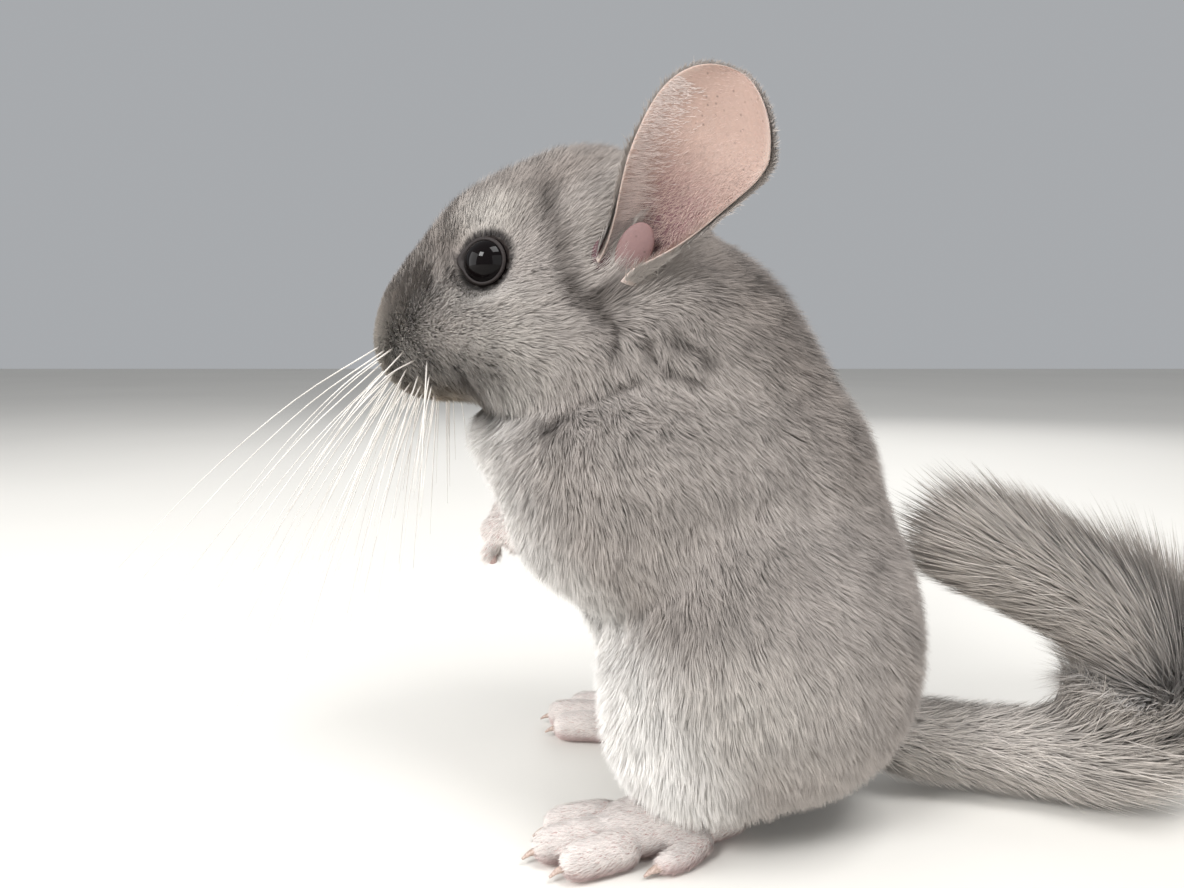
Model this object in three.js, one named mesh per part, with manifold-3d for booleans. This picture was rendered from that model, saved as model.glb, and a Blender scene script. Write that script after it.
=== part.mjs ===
// A life-size chinchilla sitting up on its hind feet, its tail laid behind it and curled up at the end.
// Millimetres, +Z up. The animal faces -Y and its left side is +X. It rests on the floor, z = 0.
import * as THREE from "three";
import { mergeVertices } from "three/addons/utils/BufferGeometryUtils.js";
import Module from "manifold-3d";

const wasm = await Module();
wasm.setup();

// Driving dimensions
const GAP = 0.3; // kept between neighbouring pieces
const SLIVER = 0.003; // edges shorter than this, left by cuts, are closed up
const DEG = Math.PI / 180;
const BLEND = 16; // how softly the masses of the body run into one another
const FACE_BLEND = 8; // the same on the head, where the forms are crisper
const NECK_BLEND = 9; // the same where the head meets the body

// Masses of the coat's outer surface: centre, half sizes, and a tilt about X in degrees.
// A mass with side = 1 is there on both sides of the animal.
const BODY_MASSES = [
  { name: "rump", at: [0, 48, 43], half: [43, 36, 41] },
  { name: "belly", at: [0, 35, 64], half: [43, 41, 36] },
  { name: "chest", at: [0, 24, 91], half: [39, 47, 31] },
  { name: "nape", at: [0, 18, 119], half: [32, 39, 30], tilt: -22 },
  { name: "throat", at: [0, -8, 97], half: [24, 22, 13] },
  { name: "haunch", at: [25, 38, 46], half: [24, 34, 31], side: 1 },
  { name: "knee", at: [26, 24, 28], half: [17, 19, 21], side: 1 },
  { name: "shoulder", at: [22, 3, 88], half: [19, 22, 22.5], side: 1 },
  { name: "elbow", at: [21, 2, 72.5], half: [13, 15, 11], side: 1 },
];
const HEAD_MASSES = [
  { name: "skull", at: [0, -4, 141], half: [25, 31, 27], tilt: 24 },
  { name: "brow", at: [0, -22, 139], half: [21, 22, 20], tilt: 30 },
  { name: "snout", at: [0, -35.5, 127], half: [14, 18.5, 17], tilt: 22 },
  { name: "pad", at: [7, -42.5, 119], half: [9.5, 10.5, 10], side: 1 },
  { name: "cheek", at: [14, -16, 124], half: [17.5, 22, 19], side: 1 },
  { name: "jowl", at: [13, -5, 117], half: [19, 24, 15], side: 1 },
  { name: "chin", at: [0, -34, 114], half: [10, 15, 8] },
];

const EYE = { at: [18.6, -24, 138.5], radius: 5.9 };
const LID = { radius: 5.5, thick: 1.15, out: 3.2 };

const EAR = {
  root: [21, 9, 137], // where the canal enters the head
  length: 48,
  halfWidth: 16.8, // half of the flattened width at its widest
  widest: 0.62, // share of the length where that is
  wall: 1.3,
  lean: [0.4, 0.47, 0.78], // from the root to the tip, left ear
  facing: [0.84, -0.52, -0.1], // where the hollow of the left ear looks
  rollBase: 2.3, // half angle of the rolled section at the root, radians
  rollTip: 0.55, // the same near the tip
};

const FOOT = { heel: [22, 44], splay: 14, length: 59, height: 13 };

const PAW = {
  arm: [
    [19, 3, 72],
    [16, -8, 72],
    [12.5, -17.5, 74],
    [11.5, -22, 72.5],
    [11.5, -23, 70.5],
  ],
  knuckles: [11.5, -22.5, 72], // where the middle of the fingers leaves the palm
  spread: [-3.8, -1.3, 1.4, 3.9], // of the four fingers, outwards from there
  wrist: [5.8, 6.2],
  finger: [1.9, 1.8],
};

const WHISKERS = { perSide: 12, root: 0.34, longest: 76, shortest: 34 };

// Planes that part the head from the neck and the neck from the torso: a point (y, z) and a slope in degrees.
const NECK_TOP = { y: -33, z: 103, slope: 28 };
const NECK_BOTTOM = { y: -29, z: 91, slope: 17 };
const MUZZLE_BACK = -37;

// Vector helpers on plain arrays
const add = (a, b, s = 1) => [a[0] + b[0] * s, a[1] + b[1] * s, a[2] + b[2] * s];
const dot = (a, b) => a[0] * b[0] + a[1] * b[1] + a[2] * b[2];
const unit = (a) => a.map((x) => x / Math.hypot(...a));
const cross = (a, b) => [
  a[1] * b[2] - a[2] * b[1],
  a[2] * b[0] - a[0] * b[2],
  a[0] * b[1] - a[1] * b[0],
];
const mix = (a, b, t) => a + (b - a) * t;
const smooth = (t) => t * t * (3 - 2 * t);
const mirrored = (v, side) => [v[0] * side, v[1], v[2]];

// A seeded draw in 0 to 1, so that every run gives the same animal.
function seeded(seed) {
  let state = seed;
  return () => {
    state = (state * 1664525 + 1013904223) % 4294967296;
    return state / 4294967296;
  };
}

// Signed distance, roughly, to one mass. Its two halves are taken together by folding x.
function massDistance(mass, p) {
  const x = mass.side ? Math.abs(p[0]) - mass.at[0] : p[0];
  const dy = p[1] - mass.at[1];
  const dz = p[2] - mass.at[2];
  const a = (mass.tilt ?? 0) * DEG;
  const y = dy * Math.cos(a) + dz * Math.sin(a);
  const z = dz * Math.cos(a) - dy * Math.sin(a);
  const [rx, ry, rz] = mass.half;
  const k0 = Math.hypot(x / rx, y / ry, z / rz);
  const k1 = Math.hypot(x / rx ** 2, y / ry ** 2, z / rz ** 2);
  return k1 < 1e-9 ? -Math.min(rx, ry, rz) : (k0 * (k0 - 1)) / k1;
}

function softUnion(a, b, k) {
  const h = Math.max(k - Math.abs(a - b), 0) / k;
  return Math.min(a, b) - (h * h * k) / 4;
}

const union = (masses, p, k) =>
  masses.reduce((d, mass) => softUnion(d, massDistance(mass, p), k), 1e3);

// The whole coat: body and head run together at the neck.
const coat = (p) =>
  softUnion(union(BODY_MASSES, p, BLEND), union(HEAD_MASSES, p, FACE_BLEND), NECK_BLEND);

// Height above a sloping plane that holds a line along X.
const abovePlane = (plane, p) =>
  (p[2] - plane.z) * Math.cos(plane.slope * DEG) -
  (p[1] - plane.y) * Math.sin(plane.slope * DEG);

// Distance from a point on an axis outwards to where a field passes a level.
function castOut(field, from, way, level, reach = 110) {
  const step = 1.5;
  let far = step;
  while (far < reach && field(add(from, way, far)) < level) far += step;
  let near = far - step;
  for (let i = 0; i < 24; i++) {
    const middle = (near + far) / 2;
    if (field(add(from, way, middle)) < level) near = middle;
    else far = middle;
  }
  return add(from, way, near);
}

// A closed surface from rows of points: each row is a ring, and the first and last are single points.
function closedRings(rings) {
  const positions = rings.flat(2);
  const index = [];
  const starts = [];
  let count = 0;
  for (const ring of rings) {
    starts.push(count);
    count += ring.length;
  }
  for (let i = 0; i + 1 < rings.length; i++) {
    const n = Math.max(rings[i].length, rings[i + 1].length);
    for (let j = 0; j < n; j++) {
      const a = starts[i] + (j % rings[i].length);
      const b = starts[i] + ((j + 1) % rings[i].length);
      const c = starts[i + 1] + (j % rings[i + 1].length);
      const d = starts[i + 1] + ((j + 1) % rings[i + 1].length);
      if (a !== b) index.push(a, b, d);
      if (c !== d) index.push(a, d, c);
    }
  }
  const geometry = new THREE.BufferGeometry();
  geometry.setAttribute("position", new THREE.Float32BufferAttribute(positions, 3));
  geometry.setIndex(index);
  return geometry;
}

// A closed three.js geometry as a solid, turned right side out, with points nearer than this made one.
function solid(geometry, near = 1e-4) {
  const plain = new THREE.BufferGeometry();
  plain.setAttribute("position", geometry.getAttribute("position"));
  if (geometry.index) plain.setIndex(geometry.index);
  const merged = mergeVertices(plain, near);
  const tri = [];
  const all = merged.index.array;
  for (let i = 0; i < all.length; i += 3) {
    const [a, b, c] = [all[i], all[i + 1], all[i + 2]];
    if (a !== b && b !== c && a !== c) tri.push(a, b, c);
  }
  const make = (corners) =>
    new wasm.Manifold(
      new wasm.Mesh({
        numProp: 3,
        vertProperties: merged.attributes.position.array,
        triVerts: new Uint32Array(corners),
      }),
    );
  const made = make(tri);
  return made.volume() < 0 ? make(tri.reverse()) : made;
}

// The field's surface, found by rays that turn from one end of an axis to the other.
function wrap(field, from, to, along, around, level = 0) {
  const axis = unit(add(to, from, -1));
  const side = [1, 0, 0];
  const up = cross(axis, side);
  const rings = [];
  for (let i = 0; i <= along; i++) {
    const share = i / along;
    const polar = Math.PI * share;
    const base = from.map((x, k) => mix(x, to[k], smooth(share)));
    const pole = i === 0 || i === along;
    const ring = [];
    for (let j = 0; j < (pole ? 1 : around); j++) {
      const turn = (2 * Math.PI * (j + 0.5)) / around;
      const out = add(
        side.map((x) => x * Math.cos(turn)),
        up,
        Math.sin(turn),
      );
      const way = add(
        out.map((x) => x * Math.sin(polar)),
        axis,
        -Math.cos(polar),
      );
      ring.push(castOut(field, base, way, level));
    }
    rings.push(ring);
  }
  return solid(closedRings(rings));
}

// A round tube along a smooth path, its half sizes given by a function of the share along it.
function tube(path, sizeAt, steps, sides, up = [0, 0, 1]) {
  const curve = new THREE.CatmullRomCurve3(path.map((p) => new THREE.Vector3(...p)));
  const rings = [];
  for (let i = 0; i <= steps; i++) {
    const share = i / steps;
    const centre = curve.getPoint(share).toArray();
    const ahead = curve.getTangent(share).toArray();
    const across = unit(cross(ahead, up));
    const over = cross(across, ahead);
    const [wide, high] = sizeAt(share);
    if (i === 0) rings.push([centre]);
    const ring = [];
    for (let j = 0; j < sides; j++) {
      const turn = (2 * Math.PI * j) / sides;
      ring.push(
        add(add(centre, across, wide * Math.cos(turn)), over, high * Math.sin(turn)),
      );
    }
    rings.push(ring);
    if (i === steps) rings.push([centre]);
  }
  return solid(closedRings(rings));
}

function asGeometry(made) {
  const mesh = made.getMesh();
  const geometry = new THREE.BufferGeometry();
  geometry.setAttribute("position", new THREE.Float32BufferAttribute(mesh.vertProperties, 3));
  geometry.setIndex(new THREE.Uint32BufferAttribute(mesh.triVerts, 1));
  return geometry;
}

// Half sizes that swell from a rounded start to a rounded end.
const rounded = (wide, high, taper = 0.75) => (share) => {
  const ends = Math.sqrt(Math.max(1 - (2 * share - 1) ** 6, 0.03));
  const thin = mix(1, taper, share);
  return [wide * ends * thin, high * ends * thin];
};

function ball(at, half, detail = 12) {
  const geometry = new THREE.SphereGeometry(1, detail * 2, detail);
  geometry.scale(...half).translate(...at);
  return solid(geometry);
}

// A big block on one side of a sloping plane, for cuts.
function above(plane, lift = 0) {
  const size = 600;
  const geometry = new THREE.BoxGeometry(size, size, size);
  geometry
    .translate(0, 0, size / 2 + lift)
    .rotateX(plane.slope * DEG)
    .translate(0, plane.y, plane.z);
  return solid(geometry);
}

const floorUp = above({ y: 0, z: 0, slope: 0 });
const largest = (made) =>
  made.decompose().sort((a, b) => b.volume() - a.volume())[0];
const join = (pieces) => pieces.reduce((all, piece) => all.add(piece));

// Torso, with the neck and haunches still in it
const BODY_AXIS = [
  [0, 46, 38],
  [0, 12, 112],
];
const HEAD_AXIS = [
  [0, 0, 138],
  [0, -34, 126],
];
const PAST_CUT = 6; // how far a surface runs on past the plane that trims it
const bodyField = (p) => Math.max(coat(p), abovePlane(NECK_TOP, p) - PAST_CUT);
const headField = (p) => Math.max(coat(p), -abovePlane(NECK_TOP, p) - PAST_CUT);
const [ALONG, AROUND] = [18, 28];
const body = wrap(bodyField, ...BODY_AXIS, ALONG, AROUND);
const bodyGrown = wrap(bodyField, ...BODY_AXIS, ALONG, AROUND, GAP);
const head = wrap(headField, ...HEAD_AXIS, ALONG, AROUND);
const headGrown = wrap(headField, ...HEAD_AXIS, ALONG, AROUND, GAP);

// The haunch and the upper foreleg are parted from the torso by rounded cuts.
const HAUNCH_CUT = { at: [44, 32, 27], half: [30, 36, 37] };
const ARM_CUT = { at: [38, -2, 70], half: [24, 22, 30] };
const region = (cut, side, grow) =>
  ball(mirrored(cut.at, side), cut.half.map((r) => r + grow), 10);

function eyeball(side) {
  return ball(mirrored(EYE.at, side), [EYE.radius, EYE.radius, EYE.radius], 8);
}

// The two lids: a rim round the eye, a little longer than high.
function lids(side) {
  const rim = new THREE.TorusGeometry(LID.radius, LID.thick, 6, 22);
  rim.scale(1.06, 0.98, 1).rotateY(Math.PI / 2).rotateZ(-8 * DEG * side);
  rim.translate((EYE.at[0] + LID.out) * side, EYE.at[1], EYE.at[2]);
  return solid(rim);
}

// The ear: a thin oval plate rolled into a funnel at its root.
// across = half the flattened width at each share of the length, and the section is an arc of that length.
function earPoint(share, across, depth, side) {
  const { length, halfWidth, widest } = EAR;
  const way = unit(EAR.lean);
  const facing = unit(add(EAR.facing, way, -dot(unit(EAR.facing), way)));
  const wide = cross(way, facing);
  const tipward = (share - widest) / (1 - widest);
  const half =
    share > widest
      ? halfWidth * Math.sqrt(Math.max(1 - tipward ** 2, 0))
      : mix(halfWidth * 0.62, halfWidth, Math.sin((share / widest) * (Math.PI / 2)));
  const roll = mix(EAR.rollBase, EAR.rollTip, smooth(Math.min(share / 0.7, 1)));
  const radius = Math.max(half, 0.01) / roll;
  const turn = roll * across;
  const reach = radius + depth;
  const sideways = reach * Math.sin(turn);
  const forwards = radius - reach * Math.cos(turn);
  let p = add(EAR.root, way, length * share);
  p = add(p, wide, sideways);
  p = add(p, facing, forwards - 7 * Math.sin(Math.PI * share) + 2);
  return mirrored(p, side);
}

// A thin sheet with two faces cut into triangles alike, closed round its rim.
function sheet(front, back) {
  const rows = front.length;
  const columns = front[0].length;
  const positions = [...front.flat(2), ...back.flat(2)];
  const at = (i, j, face) => face * rows * columns + i * columns + j;
  const index = [];
  const quad = (a, b, c, d) => index.push(a, b, c, a, c, d);
  for (let i = 0; i + 1 < rows; i++) {
    for (let j = 0; j + 1 < columns; j++) {
      quad(at(i, j, 0), at(i, j + 1, 0), at(i + 1, j + 1, 0), at(i + 1, j, 0));
      const [a, b, c, d] = [at(i, j, 1), at(i, j + 1, 1), at(i + 1, j + 1, 1), at(i + 1, j, 1)];
      index.push(a, c, b, a, d, c);
    }
  }
  for (let i = 0; i + 1 < rows; i++) {
    const last = columns - 1;
    quad(at(i, 0, 0), at(i + 1, 0, 0), at(i + 1, 0, 1), at(i, 0, 1));
    quad(at(i, last, 0), at(i, last, 1), at(i + 1, last, 1), at(i + 1, last, 0));
  }
  for (let j = 0; j + 1 < columns; j++) {
    const last = rows - 1;
    quad(at(0, j, 0), at(0, j, 1), at(0, j + 1, 1), at(0, j + 1, 0));
    quad(at(last, j, 0), at(last, j + 1, 0), at(last, j + 1, 1), at(last, j, 1));
  }
  const geometry = new THREE.BufferGeometry();
  geometry.setAttribute("position", new THREE.Float32BufferAttribute(positions, 3));
  geometry.setIndex(index);
  return solid(geometry);
}

// The ear's plate, the swelling that it grows from, and the small flap in front of the canal.
function ear(side) {
  const along = 10;
  const wide = 10;
  const faces = [0, EAR.wall].map((depth) =>
    Array.from({ length: along + 1 }, (_, i) => {
      const share = Math.sin(((i / along) * Math.PI) / 2) * 0.998;
      return Array.from({ length: wide + 1 }, (_, j) =>
        earPoint(share, (2 * j) / wide - 1, depth, side),
      );
    }),
  );
  const root = ball(mirrored([20, 10, 137], side), [9, 12, 10], 8);
  const flap = tube(
    [
      [24, 2, 134],
      [28, 3, 139],
      [30, 5, 145],
    ].map((p) => mirrored(p, side)),
    rounded(3.4, 1.3),
    5,
    8,
    [0, 1, 0],
  );
  return join([sheet(...faces), root, flap]).subtract(headGrown);
}

// Hind foot: a long sole, three toes, and a short outer toe set well back. All of them press on the floor.
function foot(side) {
  const splay = FOOT.splay * DEG;
  const [heelX, heelY] = FOOT.heel;
  const place = (share, out, z) =>
    mirrored(
      [
        heelX + FOOT.length * share * Math.sin(splay) + out * Math.cos(splay),
        heelY - FOOT.length * share * Math.cos(splay) + out * Math.sin(splay),
        z,
      ],
      side,
    );
  const h = FOOT.height;
  const sole = tube(
    [place(-0.06, 0, h * 0.48), place(0.3, 0, h * 0.5), place(0.74, 0, h * 0.38)],
    (share) => {
      const ends = Math.sqrt(Math.max(1 - (2 * share - 1) ** 6, 0.04));
      return [mix(6.2, 8.6, share) * ends, mix(0.6, 0.46, share) * h * ends];
    },
    7,
    12,
  );
  const toes = [-5.6, 0.6, 6.6].map((out, k) => {
    const reach = [0.93, 1, 0.92][k];
    const tip = place(reach, out * 1.35, 3);
    const toe = tube(
      [place(0.6, out * 0.9, h * 0.36), place(reach - 0.14, out * 1.25, h * 0.34), tip],
      rounded(4.4, 4.8, 0.86),
      5,
      8,
    );
    return toe.add(claw(tip, splay, side, 1));
  });
  const outerTip = place(0.56, 12.5, 2.4);
  const outer = tube(
    [place(0.3, 5, 4), place(0.44, 10.5, 3), outerTip],
    rounded(3, 3.2, 0.8),
    5,
    8,
  ).add(claw(outerTip, splay, side, 0.7));
  return join([sole, ...toes, outer]).subtract(bodyGrown).intersect(floorUp);
}

// A short blunt nail that points forwards and down.
function claw(tip, splay, side, scale) {
  const nail = new THREE.ConeGeometry(1.2 * scale, 6.5 * scale, 7);
  nail.rotateX(Math.PI / 2 + 0.35).rotateZ(Math.PI + splay * side);
  nail.translate(
    tip[0] + 3.2 * Math.sin(splay) * side * scale,
    tip[1] - 3.2 * Math.cos(splay) * scale,
    tip[2] - 0.4,
  );
  return solid(nail);
}

// Forearm and hand, folded up against the chest, with four curled fingers.
function forepaw(side) {
  const arm = tube(
    PAW.arm.map((p) => mirrored(p, side)),
    rounded(PAW.wrist[0], PAW.wrist[1], 0.9),
    6,
    9,
  );
  const [x, y, z] = PAW.knuckles;
  const fingers = PAW.spread.map((out) =>
    tube(
      [
        [x + out * 0.8, y, z],
        [x + out, y - 3, z - 3.2],
        [x + out - 0.5, y - 1.3, z - 6.2],
      ].map((p) => mirrored(p, side)),
      rounded(PAW.finger[0], PAW.finger[1], 0.8),
      4,
      5,
      [0, 1, 0],
    ),
  );
  return join([arm, ...fingers]).subtract(bodyGrown);
}

// The tail's line: back along the floor, round and up, then forwards again.
const TAIL_PATH = [
  [0, 68, 17],
  [1, 92, 13.6],
  [5, 112, 13],
  [9, 130, 14],
  [9, 144, 22],
  [7, 146, 35],
  [5, 137, 46],
  [3, 124, 55],
  [2, 113, 60],
];
const tailCurve = new THREE.CatmullRomCurve3(TAIL_PATH.map((p) => new THREE.Vector3(...p)));
const TAIL_LENGTH = tailCurve.getLength();
const TAIL_CORE = { start: 8, end: 3.6 }; // radius of the fleshy core under the hair
// Each length of the tail: its share of the path, and how far its hair stands out on the
// inner and the outer side of the bend. "from" of the first is inside the body.
const TAIL_PARTS = [
  { name: "tail_base", from: 0.06, to: 0.4 },
  { name: "tail_bend", from: 0.4, to: 0.7 },
  { name: "tail_tip", from: 0.7, to: 1.04 },
];
const BRUSH = { rows: 8, around: 7, inner: [12.5, 12], outer: [13, 20] }; // reach at both ends, mm
const LOCK = { length: 31, halfWidth: 5.4, thick: 1.7, tip: 0.6, steps: 2, least: 0.05 };

function tailFrame(share) {
  const at = tailCurve.getPointAt(Math.min(share, 1)).toArray();
  const way = tailCurve.getTangentAt(Math.min(share, 1)).toArray();
  const over = unit(cross([1, 0, 0], way));
  const centre = share > 1 ? add(at, way, (share - 1) * TAIL_LENGTH) : at;
  return { centre, way, over, across: cross(way, over) };
}

const coreRadius = (share) => mix(TAIL_CORE.start, TAIL_CORE.end, Math.min(share, 1));

// A point of the tail: at a share of its path, a turn round it (0 to one side, a quarter to the
// inner side of the bend) and a distance from its line. Hair on the outer side runs straight on.
function tailPoint(root, turn, forwards, out) {
  const start = tailFrame(root);
  const bent = tailFrame(root + forwards / TAIL_LENGTH);
  const straight = add(start.centre, start.way, forwards);
  const outerness = 0.35 * (1 - Math.sin(turn));
  const centre = bent.centre.map((x, k) => mix(x, straight[k], outerness));
  const spoke = add(
    bent.across.map((x) => x * Math.cos(turn)),
    bent.over,
    Math.sin(turn),
  );
  return add(centre, spoke, out);
}

// One flat, tapered lock that leaves the core and bends along the tail.
function lock(root, turn, length, width) {
  const rings = [];
  const start = -4; // the root is sunk in the core, this far back along it
  const swell = smooth(Math.min(Math.max((root - 0.2) / 0.5, 0), 1));
  const outer = mix(...BRUSH.outer, swell);
  const inner = mix(...BRUSH.inner, swell);
  const reach = mix(outer, inner, (1 + Math.sin(turn)) / 2);
  const at = (t) => {
    const rise = Math.max(t, 0) ** 0.75;
    return tailPoint(root, turn, mix(start, length, t), mix(coreRadius(root) - 1.5, reach, rise));
  };
  for (let i = 0; i <= LOCK.steps; i++) {
    const t = i / LOCK.steps;
    const p = at(t);
    const ahead = unit(add(at(t + 0.05), at(t - 0.05), -1));
    const { centre } = tailFrame(root + (length * t) / TAIL_LENGTH);
    const side = unit(cross(ahead, add(p, centre, -1)));
    const normal = cross(ahead, side);
    const wide = width * (t < 0.5 ? 1 : mix(1, 0.22, (t - 0.5) / 0.5));
    const ridge = mix(LOCK.thick, LOCK.tip, t);
    if (i === 0) rings.push([p]);
    rings.push([add(p, side, wide), add(p, normal, ridge), add(p, side, -wide)]);
    if (i === LOCK.steps) rings.push([add(p, ahead, wide)]);
  }
  return solid(closedRings(rings));
}

// The core of one length of the tail, a smooth tube under its locks.
function tailCore(part) {
  const steps = 7;
  const sides = 12;
  const rings = [];
  for (let i = 0; i <= steps; i++) {
    const share = mix(part.from, part.to, i / steps);
    const { centre, over, across } = tailFrame(share);
    const radius = coreRadius(share);
    const ring = Array.from({ length: sides }, (_, j) => {
      const turn = (2 * Math.PI * (j + 0.5)) / sides;
      return add(add(centre, across, radius * Math.cos(turn)), over, radius * Math.sin(turn));
    });
    if (i === 0) rings.push([centre]);
    rings.push(ring);
    if (i === steps) rings.push([centre]);
  }
  return solid(closedRings(rings));
}

// Rows of locks from the body to the tail's end, each row turned by half a step.
function* tailLocks() {
  for (let row = 0; row < BRUSH.rows; row++) {
    const draw = seeded(53 + row);
    for (let n = 0; n < BRUSH.around; n++) {
      const root = mix(0.12, 0.95, (row + 0.3 * draw()) / (BRUSH.rows - 1));
      const turn = (2 * Math.PI * (n + 0.5 * (row % 2) + 0.3 * draw())) / BRUSH.around;
      const length = LOCK.length * mix(0.85, 1.1, draw());
      const width = LOCK.halfWidth * mix(0.85, 1.1, draw());
      yield { root, end: root + length / TAIL_LENGTH, made: () => lock(root, turn, length, width) };
    }
  }
}

// One length of the tail: its core and the locks that reach it, kept clear of the body, the
// floor and the lengths before and after it.
function tailPart(part) {
  const locks = [...tailLocks()].filter(
    (hair) => hair.root < part.to - LOCK.least && hair.end > part.from + LOCK.least,
  );
  return join([tailCore(part), ...locks.map((hair) => hair.made())])
    .subtract(bodyGrown)
    .intersect(floorUp)
    .subtract(join([beyond(part.from, -1), ...(part.to < 1 ? [beyond(part.to, 1)] : [])]));
}

// A block past the square plane through the tail at a share of its length.
function beyond(share, sign) {
  const { centre, way, over } = tailFrame(share);
  const size = 90;
  const block = new THREE.BoxGeometry(size, size, size);
  const turn = new THREE.Matrix4().makeBasis(
    new THREE.Vector3(...cross(way, over)),
    new THREE.Vector3(...over),
    new THREE.Vector3(...way.map((x) => -x)),
  );
  block.applyMatrix4(turn);
  block.translate(...add(centre, way, sign * (size / 2 - GAP / 2)));
  return solid(block);
}

// Whiskers in rows on the side of the snout, each a long bent spine.
function whiskers(side) {
  const draw = seeded(7);
  return Array.from({ length: WHISKERS.perSide }, (_, k) => {
    const row = k % 3;
    const column = Math.floor(k / 3);
    const outwards = unit([0.9, -0.35 + 0.12 * column, -0.35 - 0.3 * row]);
    const from = [2, -48 + 3 * column, 122 - 2.2 * row];
    const skin = castOut(coat, from, outwards, 0);
    const long = mix(WHISKERS.longest, WHISKERS.shortest, column / 4 + 0.25 * draw());
    const way = unit([
      0.5 + 0.06 * column,
      -0.72 + 0.2 * column,
      -0.3 - 0.24 * row + 0.2 * draw(),
    ]);
    const path = [0, 0.35, 0.7, 1].map((t) => {
      const p = add(add(skin, outwards, -1.2), way, long * t);
      return mirrored(add(p, [0, 0, -1], 0.3 * long * t * t), side);
    });
    const sizeAt = (t) => {
      const thick = mix(WHISKERS.root, 0.12, t);
      return [thick, thick];
    };
    return tube(path, sizeAt, 3, 3, [0, 1, 0.3]);
  });
}

// Nostrils, the cleft below them and the line of the mouth, cut into the snout.
function snoutCuts() {
  const nostrils = [1, -1].map((side) =>
    ball(mirrored([3.4, -53.5, 126.5], side), [1.7, 2.4, 1.1], 6),
  );
  const lip = [-64, -40, -18, 0, 18, 40, 64].map((turn) =>
    castOut(
      coat,
      [0, -38, 113.5],
      unit([Math.sin(turn * DEG), -Math.cos(turn * DEG), -0.02 * Math.abs(turn) * DEG]),
      -0.3,
    ),
  );
  const cleft = [122, 118, 114].map((z) => castOut(coat, [0, -38, z], [0, -1, 0], -0.2));
  const groove = () => [0.75, 0.75];
  return join([...nostrils, tube(lip, groove, 9, 5), tube(cleft, groove, 3, 5, [1, 0, 0])]);
}

const eyes = { left: eyeball(1), right: eyeball(-1) };
const sockets = [1, -1].map((side) =>
  ball(mirrored(EYE.at, side), [EYE.radius + GAP, EYE.radius + GAP, EYE.radius + GAP], 8),
);
const headTrimmed = join([head.intersect(above(NECK_TOP, GAP)), lids(1), lids(-1)]).subtract(
  join(sockets),
);
const front = (y) => {
  const block = new THREE.BoxGeometry(200, 200, 200);
  block.translate(0, y - 100, 130);
  return solid(block);
};
const sides = { left: 1, right: -1 };
const pieces = {};
const below = body.subtract(above(NECK_BOTTOM)).intersect(floorUp);
const regions = Object.values(sides).flatMap((s) => [
  region(HAUNCH_CUT, s, GAP),
  region(ARM_CUT, s, GAP),
]);
pieces.torso = below.subtract(join(regions));
pieces.neck = body.intersect(above(NECK_BOTTOM, GAP)).subtract(above(NECK_TOP));
pieces.head = headTrimmed.subtract(front(MUZZLE_BACK));
pieces.muzzle = headTrimmed
  .intersect(front(MUZZLE_BACK - GAP))
  .subtract(snoutCuts())
  .add(join([...whiskers(1), ...whiskers(-1)]));
for (const [name, side] of Object.entries(sides)) {
  pieces["eye_" + name] = eyes[name];
  pieces["ear_" + name] = ear(side);
  pieces["foreleg_" + name] = below
    .intersect(region(ARM_CUT, side, 0))
    .subtract(region(HAUNCH_CUT, side, GAP));
  pieces["forepaw_" + name] = forepaw(side);
  pieces["thigh_" + name] = below.intersect(region(HAUNCH_CUT, side, 0));
  pieces["hind_foot_" + name] = foot(side);
}
for (const part of TAIL_PARTS) pieces[part.name] = tailPart(part);

const group = new THREE.Group();
for (const [name, made] of Object.entries(pieces)) {
  const geometry = asGeometry(largest(solid(asGeometry(largest(made)), SLIVER)));
  const node = new THREE.Mesh(geometry, new THREE.MeshStandardMaterial({ color: 0x9c9590 }));
  node.name = name;
  group.add(node);
}

// The origin is on the floor, under the middle of the whole animal.
const reach = new THREE.Box3().setFromObject(group);
const middle = reach.getCenter(new THREE.Vector3());
group.position.set(-middle.x, -middle.y, 0);
group.updateMatrixWorld(true);

export default group;
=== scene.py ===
import math
import bpy
import numpy as np
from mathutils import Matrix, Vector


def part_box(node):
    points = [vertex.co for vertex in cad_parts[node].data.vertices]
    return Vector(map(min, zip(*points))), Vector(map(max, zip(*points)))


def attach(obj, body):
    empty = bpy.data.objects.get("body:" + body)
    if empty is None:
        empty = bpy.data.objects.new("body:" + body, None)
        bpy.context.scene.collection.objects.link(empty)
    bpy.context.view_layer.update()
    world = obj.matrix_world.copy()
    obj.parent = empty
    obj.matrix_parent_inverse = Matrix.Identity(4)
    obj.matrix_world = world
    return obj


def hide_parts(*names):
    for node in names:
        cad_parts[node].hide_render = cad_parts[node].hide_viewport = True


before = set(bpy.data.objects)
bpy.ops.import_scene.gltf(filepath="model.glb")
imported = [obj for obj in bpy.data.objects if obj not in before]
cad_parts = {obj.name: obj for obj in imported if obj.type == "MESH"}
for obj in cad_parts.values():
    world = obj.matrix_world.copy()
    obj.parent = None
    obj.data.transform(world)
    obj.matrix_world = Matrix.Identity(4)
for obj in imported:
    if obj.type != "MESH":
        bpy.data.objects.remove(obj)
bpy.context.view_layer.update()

# The animal's place
# The left eyeball ties the animal's own millimetres to the shared frame: its centre is known in both.
EYE = np.array([18.6, -24.0, 138.5])
EYE_RADIUS = 5.9
eye_low, eye_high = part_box("eye_left")
SHIFT = (np.array(eye_low) + np.array(eye_high)) / 2 - EYE / 1000


def placed(points):
    """Points in the animal's own millimetres, divided by 1000 and shifted: metres of the shared frame."""
    return np.asarray(points, float) / 1000 + SHIFT


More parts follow.
